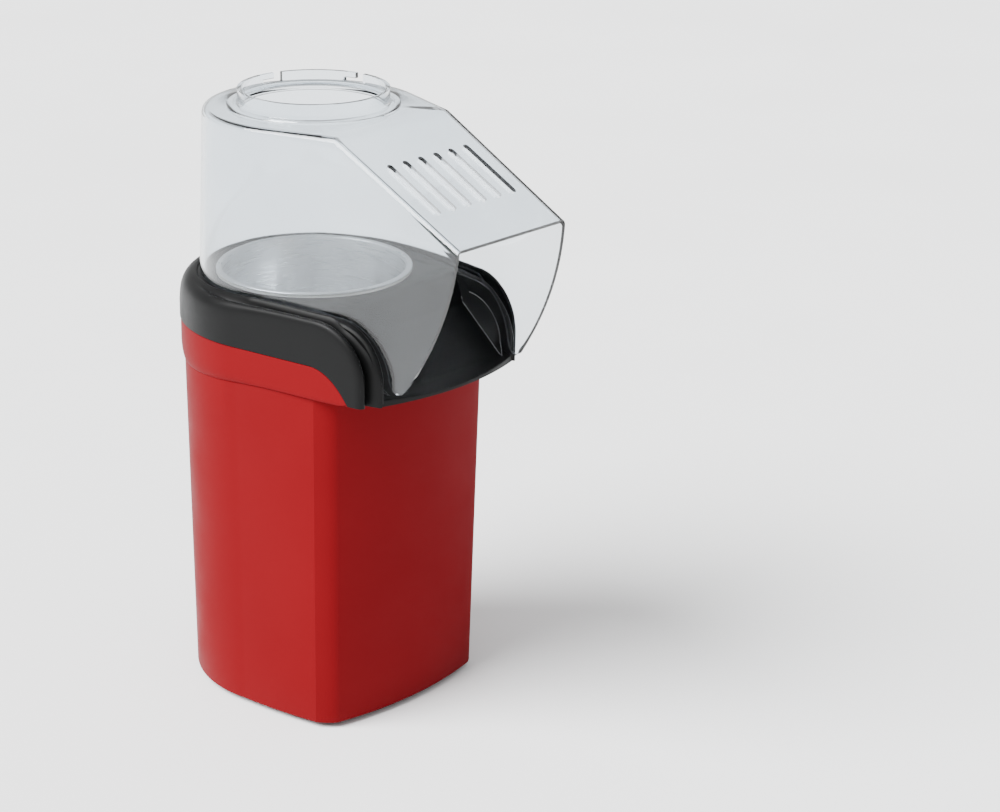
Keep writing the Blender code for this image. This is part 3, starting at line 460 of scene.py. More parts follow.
def cheek_path():
    """Stations (y, z, up, share of the lower edge) of the right cheek's ridge, from its foot to its top."""
    cy, cz = CHEEK_CENTRE
    steps = 6
    stations = []
    for i in range(steps):
        share = i / steps
        stations.append((cy - CHEEK_RADIUS, mix(COLLAR_LIP, cz, share), 0.0, mix(1.0, CHEEK_SHARE, share)))
    steps = 24
    for i in range(steps + 1):
        a = math.radians(90 * i / steps)
        y, z = cy - CHEEK_RADIUS * math.cos(a), cz + CHEEK_RADIUS * math.sin(a)
        stations.append((y, z, a, CHEEK_SHARE * (1 - i / steps)))
    return stations


def lower_point(share):
    """Point of the collar's lower edge, share 0 where it starts to turn down and 1 at the front's foot."""
    point = quadratic(LOWER_EDGE, share)
    return Vector((point.x - GAP * share, max(point.y + GAP, COLLAR_LIP)))


def collar_section(outer_at, ridge, rib, up, valley, lower):
    """Closed section: up the outer face, over the rounded edge and the valley to the rib, and back under."""
    ridge, rib = Vector(ridge), Vector(rib)
    forward = Vector((-math.cos(up), math.sin(up)))
    edge = ridge - forward * mix(-EDGE_REAR[0][1], -EDGE_FRONT[0][1], valley)
    lower = Vector(lower)
    points = [outer_at(*lower.lerp(edge, k / 7), 0.0) for k in range(7)]
    for rear, front in zip(EDGE_REAR, EDGE_FRONT):
        depth, height = mix(rear[0], front[0], valley), mix(rear[1], front[1], valley)
        if FIRST_RIB < front[0] < LAST_RIB:
            height -= RIB_FADE * smoothstep(up / 0.9) * (1 - smoothstep((up - 1.2) / 0.37)) * valley
        place = ridge.lerp(rib, smoothstep((depth - 3.9) / 3.2)) + forward * height
        points.append(outer_at(*place, depth))
    under = ridge - forward * min(9.5, (edge - lower).length * 0.55 + 3.0)
    points += [outer_at(*under, COLLAR_WIDE * 0.8), outer_at(*under, SKIRT), outer_at(*lower, SKIRT)]
    return points


def on_side(inward):
    """Places a section's (y, z, depth) on the right side, its depth measured along a direction."""

    def place(y, z, depth):
        return Vector((half_width(TOP_PLAN, y) + inward.x * depth, y + inward.y * depth, z))

    return place


def round_back(outward):
    """Places a section's height and depth on the round back, in one direction from the axis."""

    def place(_, z, depth):
        return Vector((*(outward * (REAR_REACH - depth)), z))

    return place


def top_heights(y):
    """Heights of the collar's ridge and its rib behind the cheeks."""
    start_y, start_z = CHEEK_CENTRE[0], CHEEK_CENTRE[1] + CHEEK_RADIUS
    ridge = mix(start_z, REAR_TOP, (y - start_y) / (REAR_REACH - start_y))
    beside = DECK_TOP + RIB_RISE + smoothstep((y - start_y) / 60.0)
    return ridge, mix(ridge, beside, 1 - rearness(y))


def cheek_sections(side_inward):
    """The collar's front: up beside the chute and round the cheeks' shoulders."""
    radius = RAIL_RADIUS + RIB_RISE
    sections = []
    for y, z, up, share in cheek_path():
        rib = (RAIL_CENTRE[0] - radius + 1.2, z)
        if z > CHEEK_CENTRE[1] - 0.01:
            turn = Vector((-math.cos(up), math.sin(up)))
            rib = Vector(RAIL_CENTRE) + turn * radius + Vector((1.2 * math.cos(up), 0))
        inward = Vector((-1.0, 0.0)).lerp(side_inward, smoothstep(up / 1.2)).normalized()
        sections.append(collar_section(on_side(inward), (y, z), rib, up, 1.0, lower_point(share)))
    return sections


def make_collar():
    turn = tangent(TOP_PLAN)
    touch_y = REAR_REACH * math.sin(turn)
    side_inward = Vector((-math.cos(turn), -math.sin(turn)))
    sections = cheek_sections(side_inward)
    straight = 26
    for i in range(1, straight + 1):
        y = mix(CHEEK_CENTRE[0], touch_y, i / straight)
        ridge_z, rib_z = top_heights(y)
        lower = (mix(LOWER_EDGE[0][0], touch_y, i / straight), BAND_TOP + GAP)
        section = (y, ridge_z), (y, rib_z), math.pi / 2, 1 - rearness(y), lower
        sections.append(collar_section(on_side(side_inward), *section))
    rear = 40
    for i in range(1, rear + 1):
        a = mix(turn, math.pi / 2, i / rear)
        outward = on_circle(1.0, a)
        y = REAR_REACH * math.sin(a)
        ridge_z, rib_z = top_heights(y)
        section = (y, ridge_z), (y, rib_z), math.pi / 2, 1 - rearness(y), (y, BAND_TOP + GAP)
        sections.append(collar_section(round_back(outward), *section))
    collar = new_object("top_collar_fine", swept(mirrored(sections)), 40)
    finish_piece(collar, "black_plastic", "top_collar")


# Deck and chute


def floor_z(y):
    """Height of the chute's floor: flat, a rounded edge, a straight slope and a gentle run out."""
    if y >= FLAT_END:
        return DECK_TOP
    if y >= KNEE[0]:
        t = (FLAT_END - y) / (FLAT_END - KNEE[0])
        return mix(DECK_TOP, KNEE[1], 0.5 * t * t + 0.5 * t**2.2 if t < 1 else 1)
    if y >= SLOPE_LOW[0]:
        return mix(KNEE[1], SLOPE_LOW[1], (KNEE[0] - y) / (KNEE[0] - SLOPE_LOW[0]))
    t = min((SLOPE_LOW[0] - y) / RUN_OUT, 1.0)
    return mix(SLOPE_LOW[1], CHUTE_END, 1 - (1 - t) ** 2)


def chute_half(z):
    share = (z - CHUTE_END) / (DECK_TOP - CHUTE_END)
    return mix(CHUTE_FLOOR_HALF, CHUTE_TOP_HALF, min(max(share, 0.0), 1.0))


def collar_inner_x(y):
    return half_width(TOP_PLAN, y) - COLLAR_WIDE + 1.0


def rail_section(y, z, up, panel, foot, outer_x):
    """Closed section of a rail: its top, its rounded inner edge, the panel below and the sides below that."""
    forward = Vector((-math.cos(up), math.sin(up)))
    at = Vector((y, z))
    points = []
    for x, height in ((outer_x, -1.2), (outer_x - 0.6, -0.3), (outer_x - 1.2, 0.0)):
        points.append(Vector((x, *(at + forward * height))))
    for k in (1, 2, 3):
        points.append(Vector((mix(outer_x - 1.2, CHUTE_TOP_HALF + 1.0, k / 4), *at)))
    for x, height in ((1.0, 0.0), (0.55, -0.1), (0.2, -0.4), (0.0, -0.9)):
        points.append(Vector((CHUTE_TOP_HALF + x, *(at + forward * height))))
    points.append(Vector((CHUTE_TOP_HALF, *panel)))
    inside = Vector((chute_half(foot[1]), *foot))
    lip = Vector((CHUTE_TOP_HALF, *panel))
    for k in (0.02, 0.06, 0.3, 0.5, 0.7, 0.9, 1.0):
        points.append(lip.lerp(inside, k))
    points.append(Vector((inside.x, foot[0], foot[1] - 1.5)))
    points.append(Vector((outer_x, foot[0], foot[1] - 1.5)))
    return points


def rail_front_sections():
    """The rails' short upright front, then their round shoulder up to the deck."""
    cy, cz = RAIL_CENTRE
    radius = RAIL_RADIUS - RAIL_SINK
    sections = []
    steps = 5
    for i in range(steps):
        share = i / steps
        z = mix(CHUTE_END, cz, share)
        panel = (mix(-82.0, cy - PANEL_RADIUS, share), z)
        foot_y = mix(-83.0, -80.5, share)
        foot = (foot_y, min(floor_z(foot_y), z))
        sections.append(rail_section(cy - radius, z, 0.0, panel, foot, RAIL_SIDE))
    steps = 24
    for i in range(steps + 1):
        a = math.radians(90 * i / steps)
        y, z = cy - radius * math.cos(a), cz + radius * math.sin(a)
        panel = (cy - PANEL_RADIUS * math.cos(a), cz + PANEL_RADIUS * math.sin(a))
        foot_y = mix(-80.5, PANEL_TOP_Y, i / steps)
        outer_x = max(RAIL_SIDE, collar_inner_x(y))
        sections.append(rail_section(y, z, a, panel, (foot_y, floor_z(foot_y)), outer_x))
    return sections


def rail_level_sections(back):
    """The level rails from the shoulder to the chamber's mouth, whose walls shrink away with the chute."""
    top = DECK_TOP - RAIL_SINK
    sections = []
    steps = 14
    for i in range(1, steps + 1):
        y = mix(RAIL_CENTRE[0], -back, i / steps)
        foot_y = mix(PANEL_TOP_Y, -back, i / steps)
        level = floor_z(foot_y)
        panel_z = min(RAIL_CENTRE[1] + PANEL_RADIUS, top - 1.5) if foot_y < -50 else top - 1.5
        panel_z = max(panel_z, min(level, top - 1.2))
        panel = (mix(RAIL_CENTRE[0], foot_y, smoothstep(i / 4)), panel_z)
        z = mix(top, DECK_TOP, smoothstep(i / 3))
        foot = (foot_y, min(level, top))
        sections.append(rail_section(y, z, math.pi / 2, panel, foot, collar_inner_x(y)))
    return sections


def deck_sections(back):
    """The deck round the chamber's mouth, with as many points in a section as rail_section's."""
    sections = []
    steps = 60
    start = math.atan2(-back, CHUTE_TOP_HALF)
    for i in range(1, steps + 1):
        a = mix(start, math.pi / 2, i / steps)
        rim = on_circle(DECK_HOLE, a)
        outer = on_circle(REAR_REACH - COLLAR_WIDE + 1.0, a)
        rim_y = DECK_HOLE * math.sin(a)
        if rim_y < 0:
            outer = Vector((collar_inner_x(rim_y), rim_y))
        section = [Vector((*outer.lerp(rim, share), DECK_TOP + z)) for share, z in DECK_SECTION]
        section += [Vector((*rim, DECK_TOP + z)) for z in DECK_WALL]
        section.append(Vector((*outer, DECK_TOP + DECK_WALL[-1])))
        sections.append(section)
    return sections


def make_rails():
    """The deck round the chamber's mouth and the two rails beside the chute, as one U."""
    back = math.sqrt(DECK_HOLE**2 - CHUTE_TOP_HALF**2)
    sections = rail_front_sections() + rail_level_sections(back) + deck_sections(back)
    deck = new_object("chute_deck_fine", swept(mirrored(sections)), 30)
    finish_piece(deck, "black_plastic", "chute_deck")


def panel_outline():
    """Points round the right wall's panel: down its curved edge to the lip, then back up along the floor."""
    cy, cz = RAIL_CENTRE
    curve, foot = [], []
    steps = 24
    for i in range(steps, -1, -1):
        a = math.radians(90 * i / steps)
        y, z = cy - PANEL_RADIUS * math.cos(a), cz + PANEL_RADIUS * math.sin(a)
        lip = Vector((CHUTE_TOP_HALF, y, z))
        foot_y = mix(PANEL_CORNER[0], PANEL_TOP_Y, i / steps)
        level = floor_z(foot_y)
        base = Vector((chute_half(level), foot_y, level))
        curve.append(lip.lerp(base, 0.05))
        foot.append(base.lerp(lip, 0.03))
    for i in range(1, 4):
        y, z = mix(cy - PANEL_RADIUS, PANEL_CORNER[0], i / 4), mix(cz, PANEL_CORNER[1], i / 4)
        curve.append(Vector((mix(CHUTE_TOP_HALF, chute_half(z), i / 4), y, z)))
    return curve + foot[::-1]


def make_panel_bead(side):
    """The raised line round the panel in one wall of the chute, lighter than the black plastic: a painted
    highlight along the panel's edge.
    """
    path = [Vector((p.x * side, p.y, p.z)) for p in panel_outline()]
    out = Vector((-side, 0, 0))
    sections = []
    for i, point in enumerate(path):
        along = (path[min(i + 1, len(path) - 1)] - path[max(i - 1, 0)]).normalized()
        across = along.cross(out).normalized()
        angles = [math.tau * k / 8 for k in range(8)]
        sections.append([point + (across * math.cos(a) + out * math.sin(a)) * PANEL_BEAD for a in angles])
    bead = new_object("panel_bead_" + ("right" if side > 0 else "left"), swept(sections), 60)
    # The bead's lighter colour is a painted highlight along the panel's edge.
    finish_piece(bead, "black_gloss", "chute_deck", look="painted_highlight_edge")


def chute_floor_rows():
    """Rows of points over the chute's floor, from the chamber's mouth to the bowed front lip."""
    across = [mix(-1.0, 1.0, k / 24) for k in range(25)]
    row = []
    for u in across:
        x = u * CHUTE_TOP_HALF
        row.append((x, -math.sqrt(DECK_HOLE**2 - x * x) - 0.05, DECK_TOP))
    rows = [row]
    for y in [-47.5 - 1.5 * i for i in range(24)] + [-84.0, LIP_START]:
        half = chute_half(floor_z(y)) + 1.0 + max(0.0, -81.0 - y) * 1.2
        rows.append([(u * half, y, floor_z(y)) for u in across])
    for forward, drop in ((0.55, 0.0), (0.9, 0.0), (0.985, -0.12), (1.0, -0.55), (1.0, -0.9)):
        row = []
        for u in across:
            y = mix(LIP_START, LIP_FRONT - LIP_BOW * (1 - u * u), forward)
            row.append((u * LIP_HALF, y, floor_z(y) + drop))
        rows.append(row)
    return rows


def make_chute_floor():
    """The sloping floor between the rails, which widens into the front lip."""
    rows = chute_floor_rows()
    under = [[(x, y, max(COLLAR_LIP, z - DECK_THICK)) for x, y, z in row] for row in rows[:-1]]
    under.append([(x, y, COLLAR_LIP) for x, y, _ in rows[-1]])
    bm = bmesh.new()
    tops, lows = ([[bm.verts.new(p) for p in row] for row in layer] for layer in (rows, under))
    across = len(rows[0]) - 1
    for layer, flip in ((tops, False), (lows, True)):
        for near, far in zip(layer, layer[1:]):
            for i in range(across):
                quad = (near[i], near[i + 1], far[i + 1], far[i])
                bm.faces.new(quad[::-1] if flip else quad)
    for end in (0, -1):
        for i in range(across):
            bm.faces.new((tops[end][i], tops[end][i + 1], lows[end][i + 1], lows[end][i]))
    for side in (0, -1):
        for i in range(len(rows) - 1):
            bm.faces.new((tops[i][side], tops[i + 1][side], lows[i + 1][side], lows[i][side]))
    floor = new_object("chute_floor_fine", bm, 40)
    finish_piece(floor, "black_plastic", "chute_deck")


# Clear cover


def slope_point(t):
    """(half width, y, z) on the sloping panel's edge, t from its crease to the mouth."""
    return (
        mix(TOP_EDGE_PLAN[1], SLOPE_END_HALF, t),
        mix(TOP_EDGE_PLAN[2], SLOPE_END[0], t),
        mix(COVER_TOP, SLOPE_END[1], t),
    )


def foot_curve():
    """(y, z, t) from the mouth's foot round the tip, up the round shoulder to the deck."""
    cy, cz = RAIL_CENTRE
    rail = RAIL_RADIUS + GAP
    points = [(y, z, mix(1.0, 0.84, i / 8)) for i, (y, z) in enumerate(COVER_TIP)]
    steps = 22
    for i in range(steps + 1):
        share = i / steps
        bend = math.radians(mix(SHOULDER_START, 90.0, share))
        points.append((cy - rail * math.cos(bend), cz + rail * math.sin(bend), mix(0.84, 0.06, share)))
    points.append((STRAIGHT_START, COVER_FOOT, 0.0))
    return points


def wall_column(foot, top, bow, rows=14):
    column = []
    for i in range(rows + 1):
        v = i / rows
        x, y, z = Vector(foot).lerp(Vector(top), v)
        column.append((x, y - bow * 4 * v * (1 - v), z))
    return column


def cover_columns():
    """The whole wall's columns of points, from the left of the mouth round the back to the right."""
    right = []
    for y, z, t in foot_curve():
        bow = MOUTH_BOW * max(0.0, (t - 0.4) / 0.6) ** 2
        right.append(wall_column((half_width(FOOT_PLAN, y), y, z), slope_point(t), bow))
    foot_turn, top_turn = tangent(FOOT_PLAN), tangent(TOP_EDGE_PLAN)
    foot_start = Vector((half_width(FOOT_PLAN, STRAIGHT_START), STRAIGHT_START))
    top_start = Vector(slope_point(0.0)[:2])
    foot_touch = on_circle(FOOT_PLAN[0], foot_turn)
    top_touch = on_circle(TOP_EDGE_PLAN[0], top_turn)
    for i in range(1, 9):
        foot, top = foot_start.lerp(foot_touch, i / 9), top_start.lerp(top_touch, i / 9)
        right.append(wall_column((*foot, COVER_FOOT), (*top, COVER_TOP), 0.0))
    steps = 34
    for i in range(steps + 1):
        a, b = mix(foot_turn, math.pi / 2, i / steps), mix(top_turn, math.pi / 2, i / steps)
        foot, top = on_circle(FOOT_PLAN[0], a), on_circle(TOP_EDGE_PLAN[0], b)
        right.append(wall_column((*foot, COVER_FOOT), (*top, COVER_TOP), 0.0))
    left = [[(-x, y, z) for x, y, z in column] for column in right[:-1]]
    return left + right[::-1]


def ring_points(edge):
    """Points round the foot of the ring, each nearest to one of the top's edge."""
    points = []
    for x, y, _ in edge:
        reach = math.hypot(x, y)
        points.append((RING_RADIUS * x / reach, RING_RADIUS * y / reach))
    return points


def slope_grid():
    """Rows of points over the sloping panel, from its crease to the mouth."""
    grid = []
    for t in sorted({t for _, _, t in foot_curve()}):
        half, y, z = slope_point(t)
        grid.append([(mix(-half, half, k / 24), y, z) for k in range(25)])
    return grid


def cover_skin():
    """The cover's outer skin, still without thickness: walls, sloping panel, top and ring."""
    bm = bmesh.new()
    made = {}

    def vert(point):
        key = tuple(round(c, 3) for c in point)
        if key not in made:
            made[key] = bm.verts.new(point)
        return made[key]

    def quad(*points):
        bm.faces.new([vert(p) for p in points])

    columns = cover_columns()
    for left, right in zip(columns, columns[1:]):
        for i in range(len(left) - 1):
            quad(left[i], right[i], right[i + 1], left[i + 1])
    grid = slope_grid()
    for near, far in zip(grid, grid[1:]):
        for i in range(len(near) - 1):
            quad(near[i], near[i + 1], far[i + 1], far[i])
    edge = [column[-1] for column in columns if column[-1][2] > COVER_TOP - 0.01]
    edge += grid[0][-2:0:-1]
    ring = ring_points(edge)
    for i in range(len(edge)):
        j = (i + 1) % len(edge)
        quad(edge[i], edge[j], (*ring[j], COVER_TOP), (*ring[i], COVER_TOP))
        quad((*ring[i], COVER_TOP), (*ring[j], COVER_TOP), (*ring[j], HEIGHT), (*ring[i], HEIGHT))
    bmesh.ops.recalc_face_normals(bm, faces=bm.faces)
    highest = max(bm.faces, key=lambda face: face.normal.z)
    if highest.calc_center_median().z < 200:
        bmesh.ops.reverse_faces(bm, faces=bm.faces)
    return bm


def slot_cutter(x):
    """A slot with round ends, square to the sloping panel."""
    _, y0, z0 = slope_point(SLOT_SPAN[0])
    _, y1, z1 = slope_point(SLOT_SPAN[1])
    along = Vector((0, y1 - y0, z1 - z0))
    length = along.length
    along.normalize()
    out = Vector((0, along.z, -along.y)).normalized()
    start = Vector((x, y0, z0))
    radius = SLOT_WIDTH / 2
    loop = []
    for centre, sign in ((radius, -1), (length - radius, 1)):
        for i in range(9):
            a = math.pi * i / 8
            loop.append((sign * radius * math.cos(a), centre + sign * radius * math.sin(a)))
    sections = []
    for depth in (-6.0, 6.0):
        sections.append([start + Vector((u, 0, 0)) + along * v + out * depth for u, v in loop])
    return swept(sections)


def notch_cutters(turn):
    """The two cuts of an L-shaped slot in the ring's wall: open at the top, then sideways."""
    around = Matrix.Rotation(math.radians(turn), 4, "Z")
    drop = block((-2.2, RING_RADIUS - 4, HEIGHT - 4.6), (2.2, RING_RADIUS + 3, HEIGHT + 1))
    arm = block((-8.5, RING_RADIUS - 4, HEIGHT - 4.6), (0.0, RING_RADIUS + 3, HEIGHT - 2.6))
    return turned(drop, around), turned(arm, around)


def make_cover():
    skin = cover_skin()
    skin.transform(Matrix.Translation(ORIGIN) @ Matrix.Diagonal((MM, MM, MM, 1)))
    mesh = bpy.data.meshes.new("clear_cover_fine")
    skin.to_mesh(mesh)
    skin.free()
    cover = bpy.data.objects.new("clear_cover_fine", mesh)
    bpy.context.scene.collection.objects.link(cover)
    rounded(cover, 3.6, 5, 40)
    wall = cover.modifiers.new("wall", "SOLIDIFY")
    wall.thickness = COVER_WALL * MM
    wall.offset = -1
    wall.use_even_offset = True
    cover.data.materials.append(MATERIALS["clear_plastic"])
    # The rim faces get a second material: painted shade, near-black, along the cover's foot.
    cover.data.materials.append(MATERIALS["clear_rim"])
    wall.material_offset_rim = 1
    applied(cover)
    # Faces away from the foot go back to the clear material, so the painted shade stays on the foot's rim and
    # leaves the mouth's tip clear.
    for face in cover.data.polygons:
        _, y, z = (cover.data.vertices[face.vertices[0]].co - ORIGIN) / MM
        if z > COVER_FOOT + 1 or y < MOUTH_FOOT[0] + 4:
            face.material_index = 0
    for i in range(SLOTS):
        boolean(cover, slot_cutter((i - (SLOTS - 1) / 2) * SLOT_PITCH))
    boolean(cover, lathe(RING_FLANGE, 128), "UNION")
    for turn in NOTCH_TURNS:
        for cutter in notch_cutters(turn):
            boolean(cover, cutter)
    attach(cover, "cover")
    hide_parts("clear_cover")
    return cover


# Chamber


def make_chamber():
    low, high = local_box("popping_chamber")
    rim, radius, floor = high.z, 44.8, low.z
    profile = [(0, floor + 10), (12, floor + 7), (30, floor), (radius - 3, floor)]
    profile += [(radius - 0.9, floor + 0.9), (radius, floor + 3), (radius, rim - 1.6)]
    profile += [(radius + 0.6, rim - 1.1), (radius + 1.6, rim - 1.0), (radius + 2.0, rim - 0.5)]
    profile += [(radius + 1.7, rim - 0.1), (radius + 0.6, rim), (radius - 0.6, rim - 0.2)]
    profile += [(radius - 1.0, rim - 1.0), (radius - 1.0, floor + 3.5), (radius - 1.7, floor + 1.7)]
    profile += [(radius - 3.5, floor + 1.0), (30, floor + 1.0), (12, floor + 8), (0, floor + 11)]
    chamber = new_object("popping_chamber_fine", lathe(profile, 128), 50)
    middle = Matrix.Translation((0, 0, floor + 11.5))
    lean = middle @ Matrix.Rotation(math.radians(25), 4, "Y") @ middle.inverted()
    for i in range(VENTS):
        louvre = block((-0.8, -radius - 2, floor + 6), (0.8, -radius + 3, floor + 17))
        around = Matrix.Rotation(math.tau * i / VENTS, 4, "Z")
        boolean(chamber, turned(louvre, around @ lean), angle=50)
    finish_piece(chamber, "aluminium", "popping_chamber")


# Small pieces


def rounded_plan(wide, tall, corner, steps=6):
    """A rectangle's outline in X and Z with round corners."""
    points = []
    for turn, (sx, sz) in enumerate(((1, 1), (-1, 1), (-1, -1), (1, -1))):
        for i in range(steps + 1):
            a = math.radians(90 * (turn + i / steps))
            x = sx * (wide / 2 - corner) + corner * math.cos(a)
            z = sz * (tall / 2 - corner) + corner * math.sin(a)
            points.append((x, z))
    return points


def make_bezel():
    """The switch's frame: a flange whose skirt follows the shell's back, with a well for the rocker."""
    low, high = bezel_low, bezel_high
    middle = (low.z + high.z) / 2
    wide, tall = high.x - low.x, high.z - low.z
    skin = SHELL_PLAN[0] + SHELL_DRAFT * middle + GAP / 2
    sections = []
    rings = ((0.0, None), (0.0, -0.7), (0.35, -0.25), (0.8, 0.0))
    for inset, back in rings:
        ring = []
        for x, z in rounded_plan(wide - 2 * inset, tall - 2 * inset, 2.2 - inset):
            y = math.sqrt(skin**2 - x * x) if back is None else high.y + back
            ring.append((x, y, middle + z))
        sections.append(ring)
    well_wide, well_tall = rocker_high.x - rocker_low.x + 0.8, rocker_high.z - rocker_low.z + 0.8
    well = ((0.5, high.y), (0.15, high.y - 0.15), (0.0, high.y - 0.5), (0.0, high.y - WELL_DEEP))
    for grow, y in well:
        ring = rounded_plan(well_wide + grow, well_tall + grow, 0.7)
        sections.append([(x, y, middle + z) for x, z in ring])
    for y in (high.y - WELL_DEEP, skin - 2.4):
        sections.append([(x, y, middle + z) for x, z in rounded_plan(*OPENING, 0.7)])
    bezel = new_object("switch_bezel_fine", swept(sections, loop=True), 40)
    finish_piece(bezel, "black_plastic", "switch_bezel")


def make_inlet():
    """The lead's bush: a neck, a flange and a stepped nose round an open bore."""
    middle = (inlet_low.z + inlet_high.z) / 2
    radius = (inlet_high.x - inlet_low.x) / 2
    near, far = inlet_low.y, inlet_high.y
    face = SHELL_PLAN[0] + SHELL_DRAFT * middle + GAP / 2
    bore = 2.3
    profile = [(bore, near), (radius - NECK_INSET, near), (radius - NECK_INSET, face)]
    profile += [(radius - 0.3, face - 0.3), (radius, face + 0.1), (radius, face + 0.9)]
    profile += [(radius - 0.3, face + 1.3), (radius - 1.5, face + 1.5), (radius - 2.0, face + 1.9)]
    profile += [(radius - 2.3, far - 0.3), (radius - 2.7, far), (bore + 0.6, far), (bore, far - 0.5)]
    inlet = new_object("lead_inlet_fine", along_y(lathe(profile, 64), middle), 40)
    finish_piece(inlet, "black_plastic", "lead_inlet")


def box_centre(node):
    low, high = local_box(node)
    return (low.x + high.x) / 2, (low.y + high.y) / 2


def drill(piece, screw, radius, low_z, high_z, steps):
    """A hole round a screw."""
    profile = [(0, low_z), (radius, low_z), (radius, high_z), (0, high_z)]
    boolean(piece, lathe(profile, steps, box_centre(screw)), angle=40)


def make_feet():
    """Rubber feet with a rounded tread and a recess round the screw."""
    for i in range(1, 5):
        low, high = local_box(f"foot_{i}")
        radius = (high.x - low.x) / 2
        bore = 3.2
        profile = [(bore, high.z), (radius, high.z), (radius, low.z + 1.2)]
        profile += [(radius - 0.25, low.z + 0.5), (radius - 0.8, low.z + 0.1), (radius - 1.4, low.z)]
        profile += [(bore + 0.6, low.z), (bore, low.z + 0.5)]
        foot = new_object(f"foot_{i}_fine", lathe(profile, 48, box_centre(f"foot_{i}")), 40)
        finish_piece(foot, "rubber", f"foot_{i}")


def make_duct():
    """The duct round the heater: a tube with a foot that the screws hold."""
    low, high = local_box("air_duct")
    flange = high.x
    radius = local_box("mica_sleeve")[1].x + GAP + DUCT_WALL
    inner = radius - DUCT_WALL
    thick = 2.0
    profile = [(inner, low.z), (flange - 0.3, low.z), (flange, low.z + 0.3)]
    profile += [(flange, low.z + thick - 0.2), (flange - 0.3, low.z + thick), (radius + 0.8, low.z + thick)]
    profile += [(radius + 0.2, low.z + thick + 0.3), (radius, low.z + thick + 0.9)]
    profile += [(radius, high.z - 0.3), (radius - 0.2, high.z), (inner + 0.2, high.z), (inner, high.z - 0.3)]
    duct = new_object("air_duct_fine", lathe(profile, 128), 40)
    for i in range(1, 5):
        drill(duct, f"duct_screw_{i}", 1.9, low.z - 1, low.z + 3, 32)
    finish_piece(duct, "steel", "air_duct")


def make_motor():
    """The motor's drawn can with a rolled shoulder and a bearing boss at its foot."""
    low, high = local_box("motor")
    radius, shoulder = high.x, low.z + 3
    profile = [(0, low.z), (6.6, low.z), (7.3, low.z + 0.3), (7.5, low.z + 0.9)]
    profile += [(7.5, shoulder - 0.3), (7.9, shoulder), (radius - 1.6, shoulder)]
    profile += [(radius - 0.6, shoulder + 0.4), (radius, shoulder + 1.6), (radius, high.z - 0.8)]
    profile += [(radius - 0.25, high.z - 0.25), (radius - 0.8, high.z), (2.6, high.z)]
    profile += [(2.3, high.z - 0.3), (2.3, high.z - 13.5), (0, high.z - 13.5)]
    motor = new_object("motor_fine", lathe(profile, 96), 40)
    for i in (1, 2):
        drill(motor, f"motor_screw_{i}", 1.4, high.z - 6, high.z + 1, 24)
    finish_piece(motor, "steel", "motor")


def round_cad_nodes():
    """Rounds the sharp edges of the CAD nodes that stay."""
    for part in frame["record"]["subparts"]:
        node = frame["nodes"][part["node"]]
        if node.hide_render:
            continue
        low, high = local_box(part["node"])
        rounded(node, min(0.35, min(high - low) * 0.12), 2, 40)


# Materials


class Surface:
    """A Principled material whose nodes are added step by step."""

    def __init__(self, name, roughness, metallic=0.0):
        self.material = bpy.data.materials.new(name)
        self.material.use_nodes = True
        self.nodes = self.material.node_tree.nodes
        self.links = self.material.node_tree.links
        self.shader = self.nodes["Principled BSDF"]
        self.shader.inputs["Metallic"].default_value = metallic
        self.shader.inputs["Roughness"].default_value = roughness
        self.place = self.nodes.new("ShaderNodeTexCoord").outputs["Object"]

    def noise(self, scale, detail=3.0, stretch=(1.0, 1.0, 1.0), shift=0.0):
        mapping = self.nodes.new("ShaderNodeMapping")
        mapping.inputs["Scale"].default_value = stretch
        mapping.inputs["Location"].default_value = (shift, shift * 0.7, shift * 1.3)
        texture = self.nodes.new("ShaderNodeTexNoise")
        texture.inputs["Scale"].default_value = scale
        texture.inputs["Detail"].default_value = detail
        self.links.new(self.place, mapping.inputs["Vector"])
        self.links.new(mapping.outputs["Vector"], texture.inputs["Vector"])
        return texture.outputs["Fac"]

    def ramp(self, source, low, high, start=0.35, end=0.65):
        """Turns a 0 to 1 source into a range of values or colours."""
        if isinstance(low, tuple):
            node = self.nodes.new("ShaderNodeValToRGB")
            node.color_ramp.elements[0].position = start
            node.color_ramp.elements[1].position = end
            node.color_ramp.elements[0].color = (*low, 1.0)
            node.color_ramp.elements[1].color = (*high, 1.0)
            self.links.new(source, node.inputs["Fac"])
            return node.outputs["Color"]
        node = self.nodes.new("ShaderNodeMapRange")
        for key, value in (("From Min", start), ("From Max", end), ("To Min", low), ("To Max", high)):
            node.inputs[key].default_value = value
        self.links.new(source, node.inputs["Value"])
        return node.outputs["Result"]

    def colour(self, source, low, high, start=0.35, end=0.65):
        self.links.new(self.ramp(source, low, high, start, end), self.shader.inputs["Base Color"])

    def roughness(self, source, low, high, start=0.3, end=0.7):
        self.links.new(self.ramp(source, low, high, start, end), self.shader.inputs["Roughness"])

    def bump(self, source, height, strength=1.0):
        """Adds a height, in millimetres, on top of the bumps that are already there."""
        node = self.nodes.new("ShaderNodeBump")
        node.inputs["Strength"].default_value = strength
        node.inputs["Distance"].default_value = height * MM
        self.links.new(source, node.inputs["Height"])
        normal = self.shader.inputs["Normal"]
        if normal.links:
            self.links.new(normal.links[0].from_socket, node.inputs["Normal"])
        self.links.new(node.outputs["Normal"], normal)


def moulded(name, dark, light, rough, grain, specular, ior=1.5):
    """Moulded plastic: a slightly cloudy colour, a fine spark-eroded grain and a few rubbed patches."""
    surface = Surface(name, sum(rough) / 2)
    surface.shader.inputs["Specular IOR Level"].default_value = specular
    surface.shader.inputs["IOR"].default_value = ior
    surface.colour(surface.noise(9.0, 4.0), dark, light)
    surface.roughness(surface.noise(45.0, 5.0, shift=3.1), *rough)
    surface.bump(surface.noise(1500.0, 2.0), grain)
    surface.bump(surface.noise(22.0, 2.0, shift=5.3), 0.012, 0.5)
    return surface.material


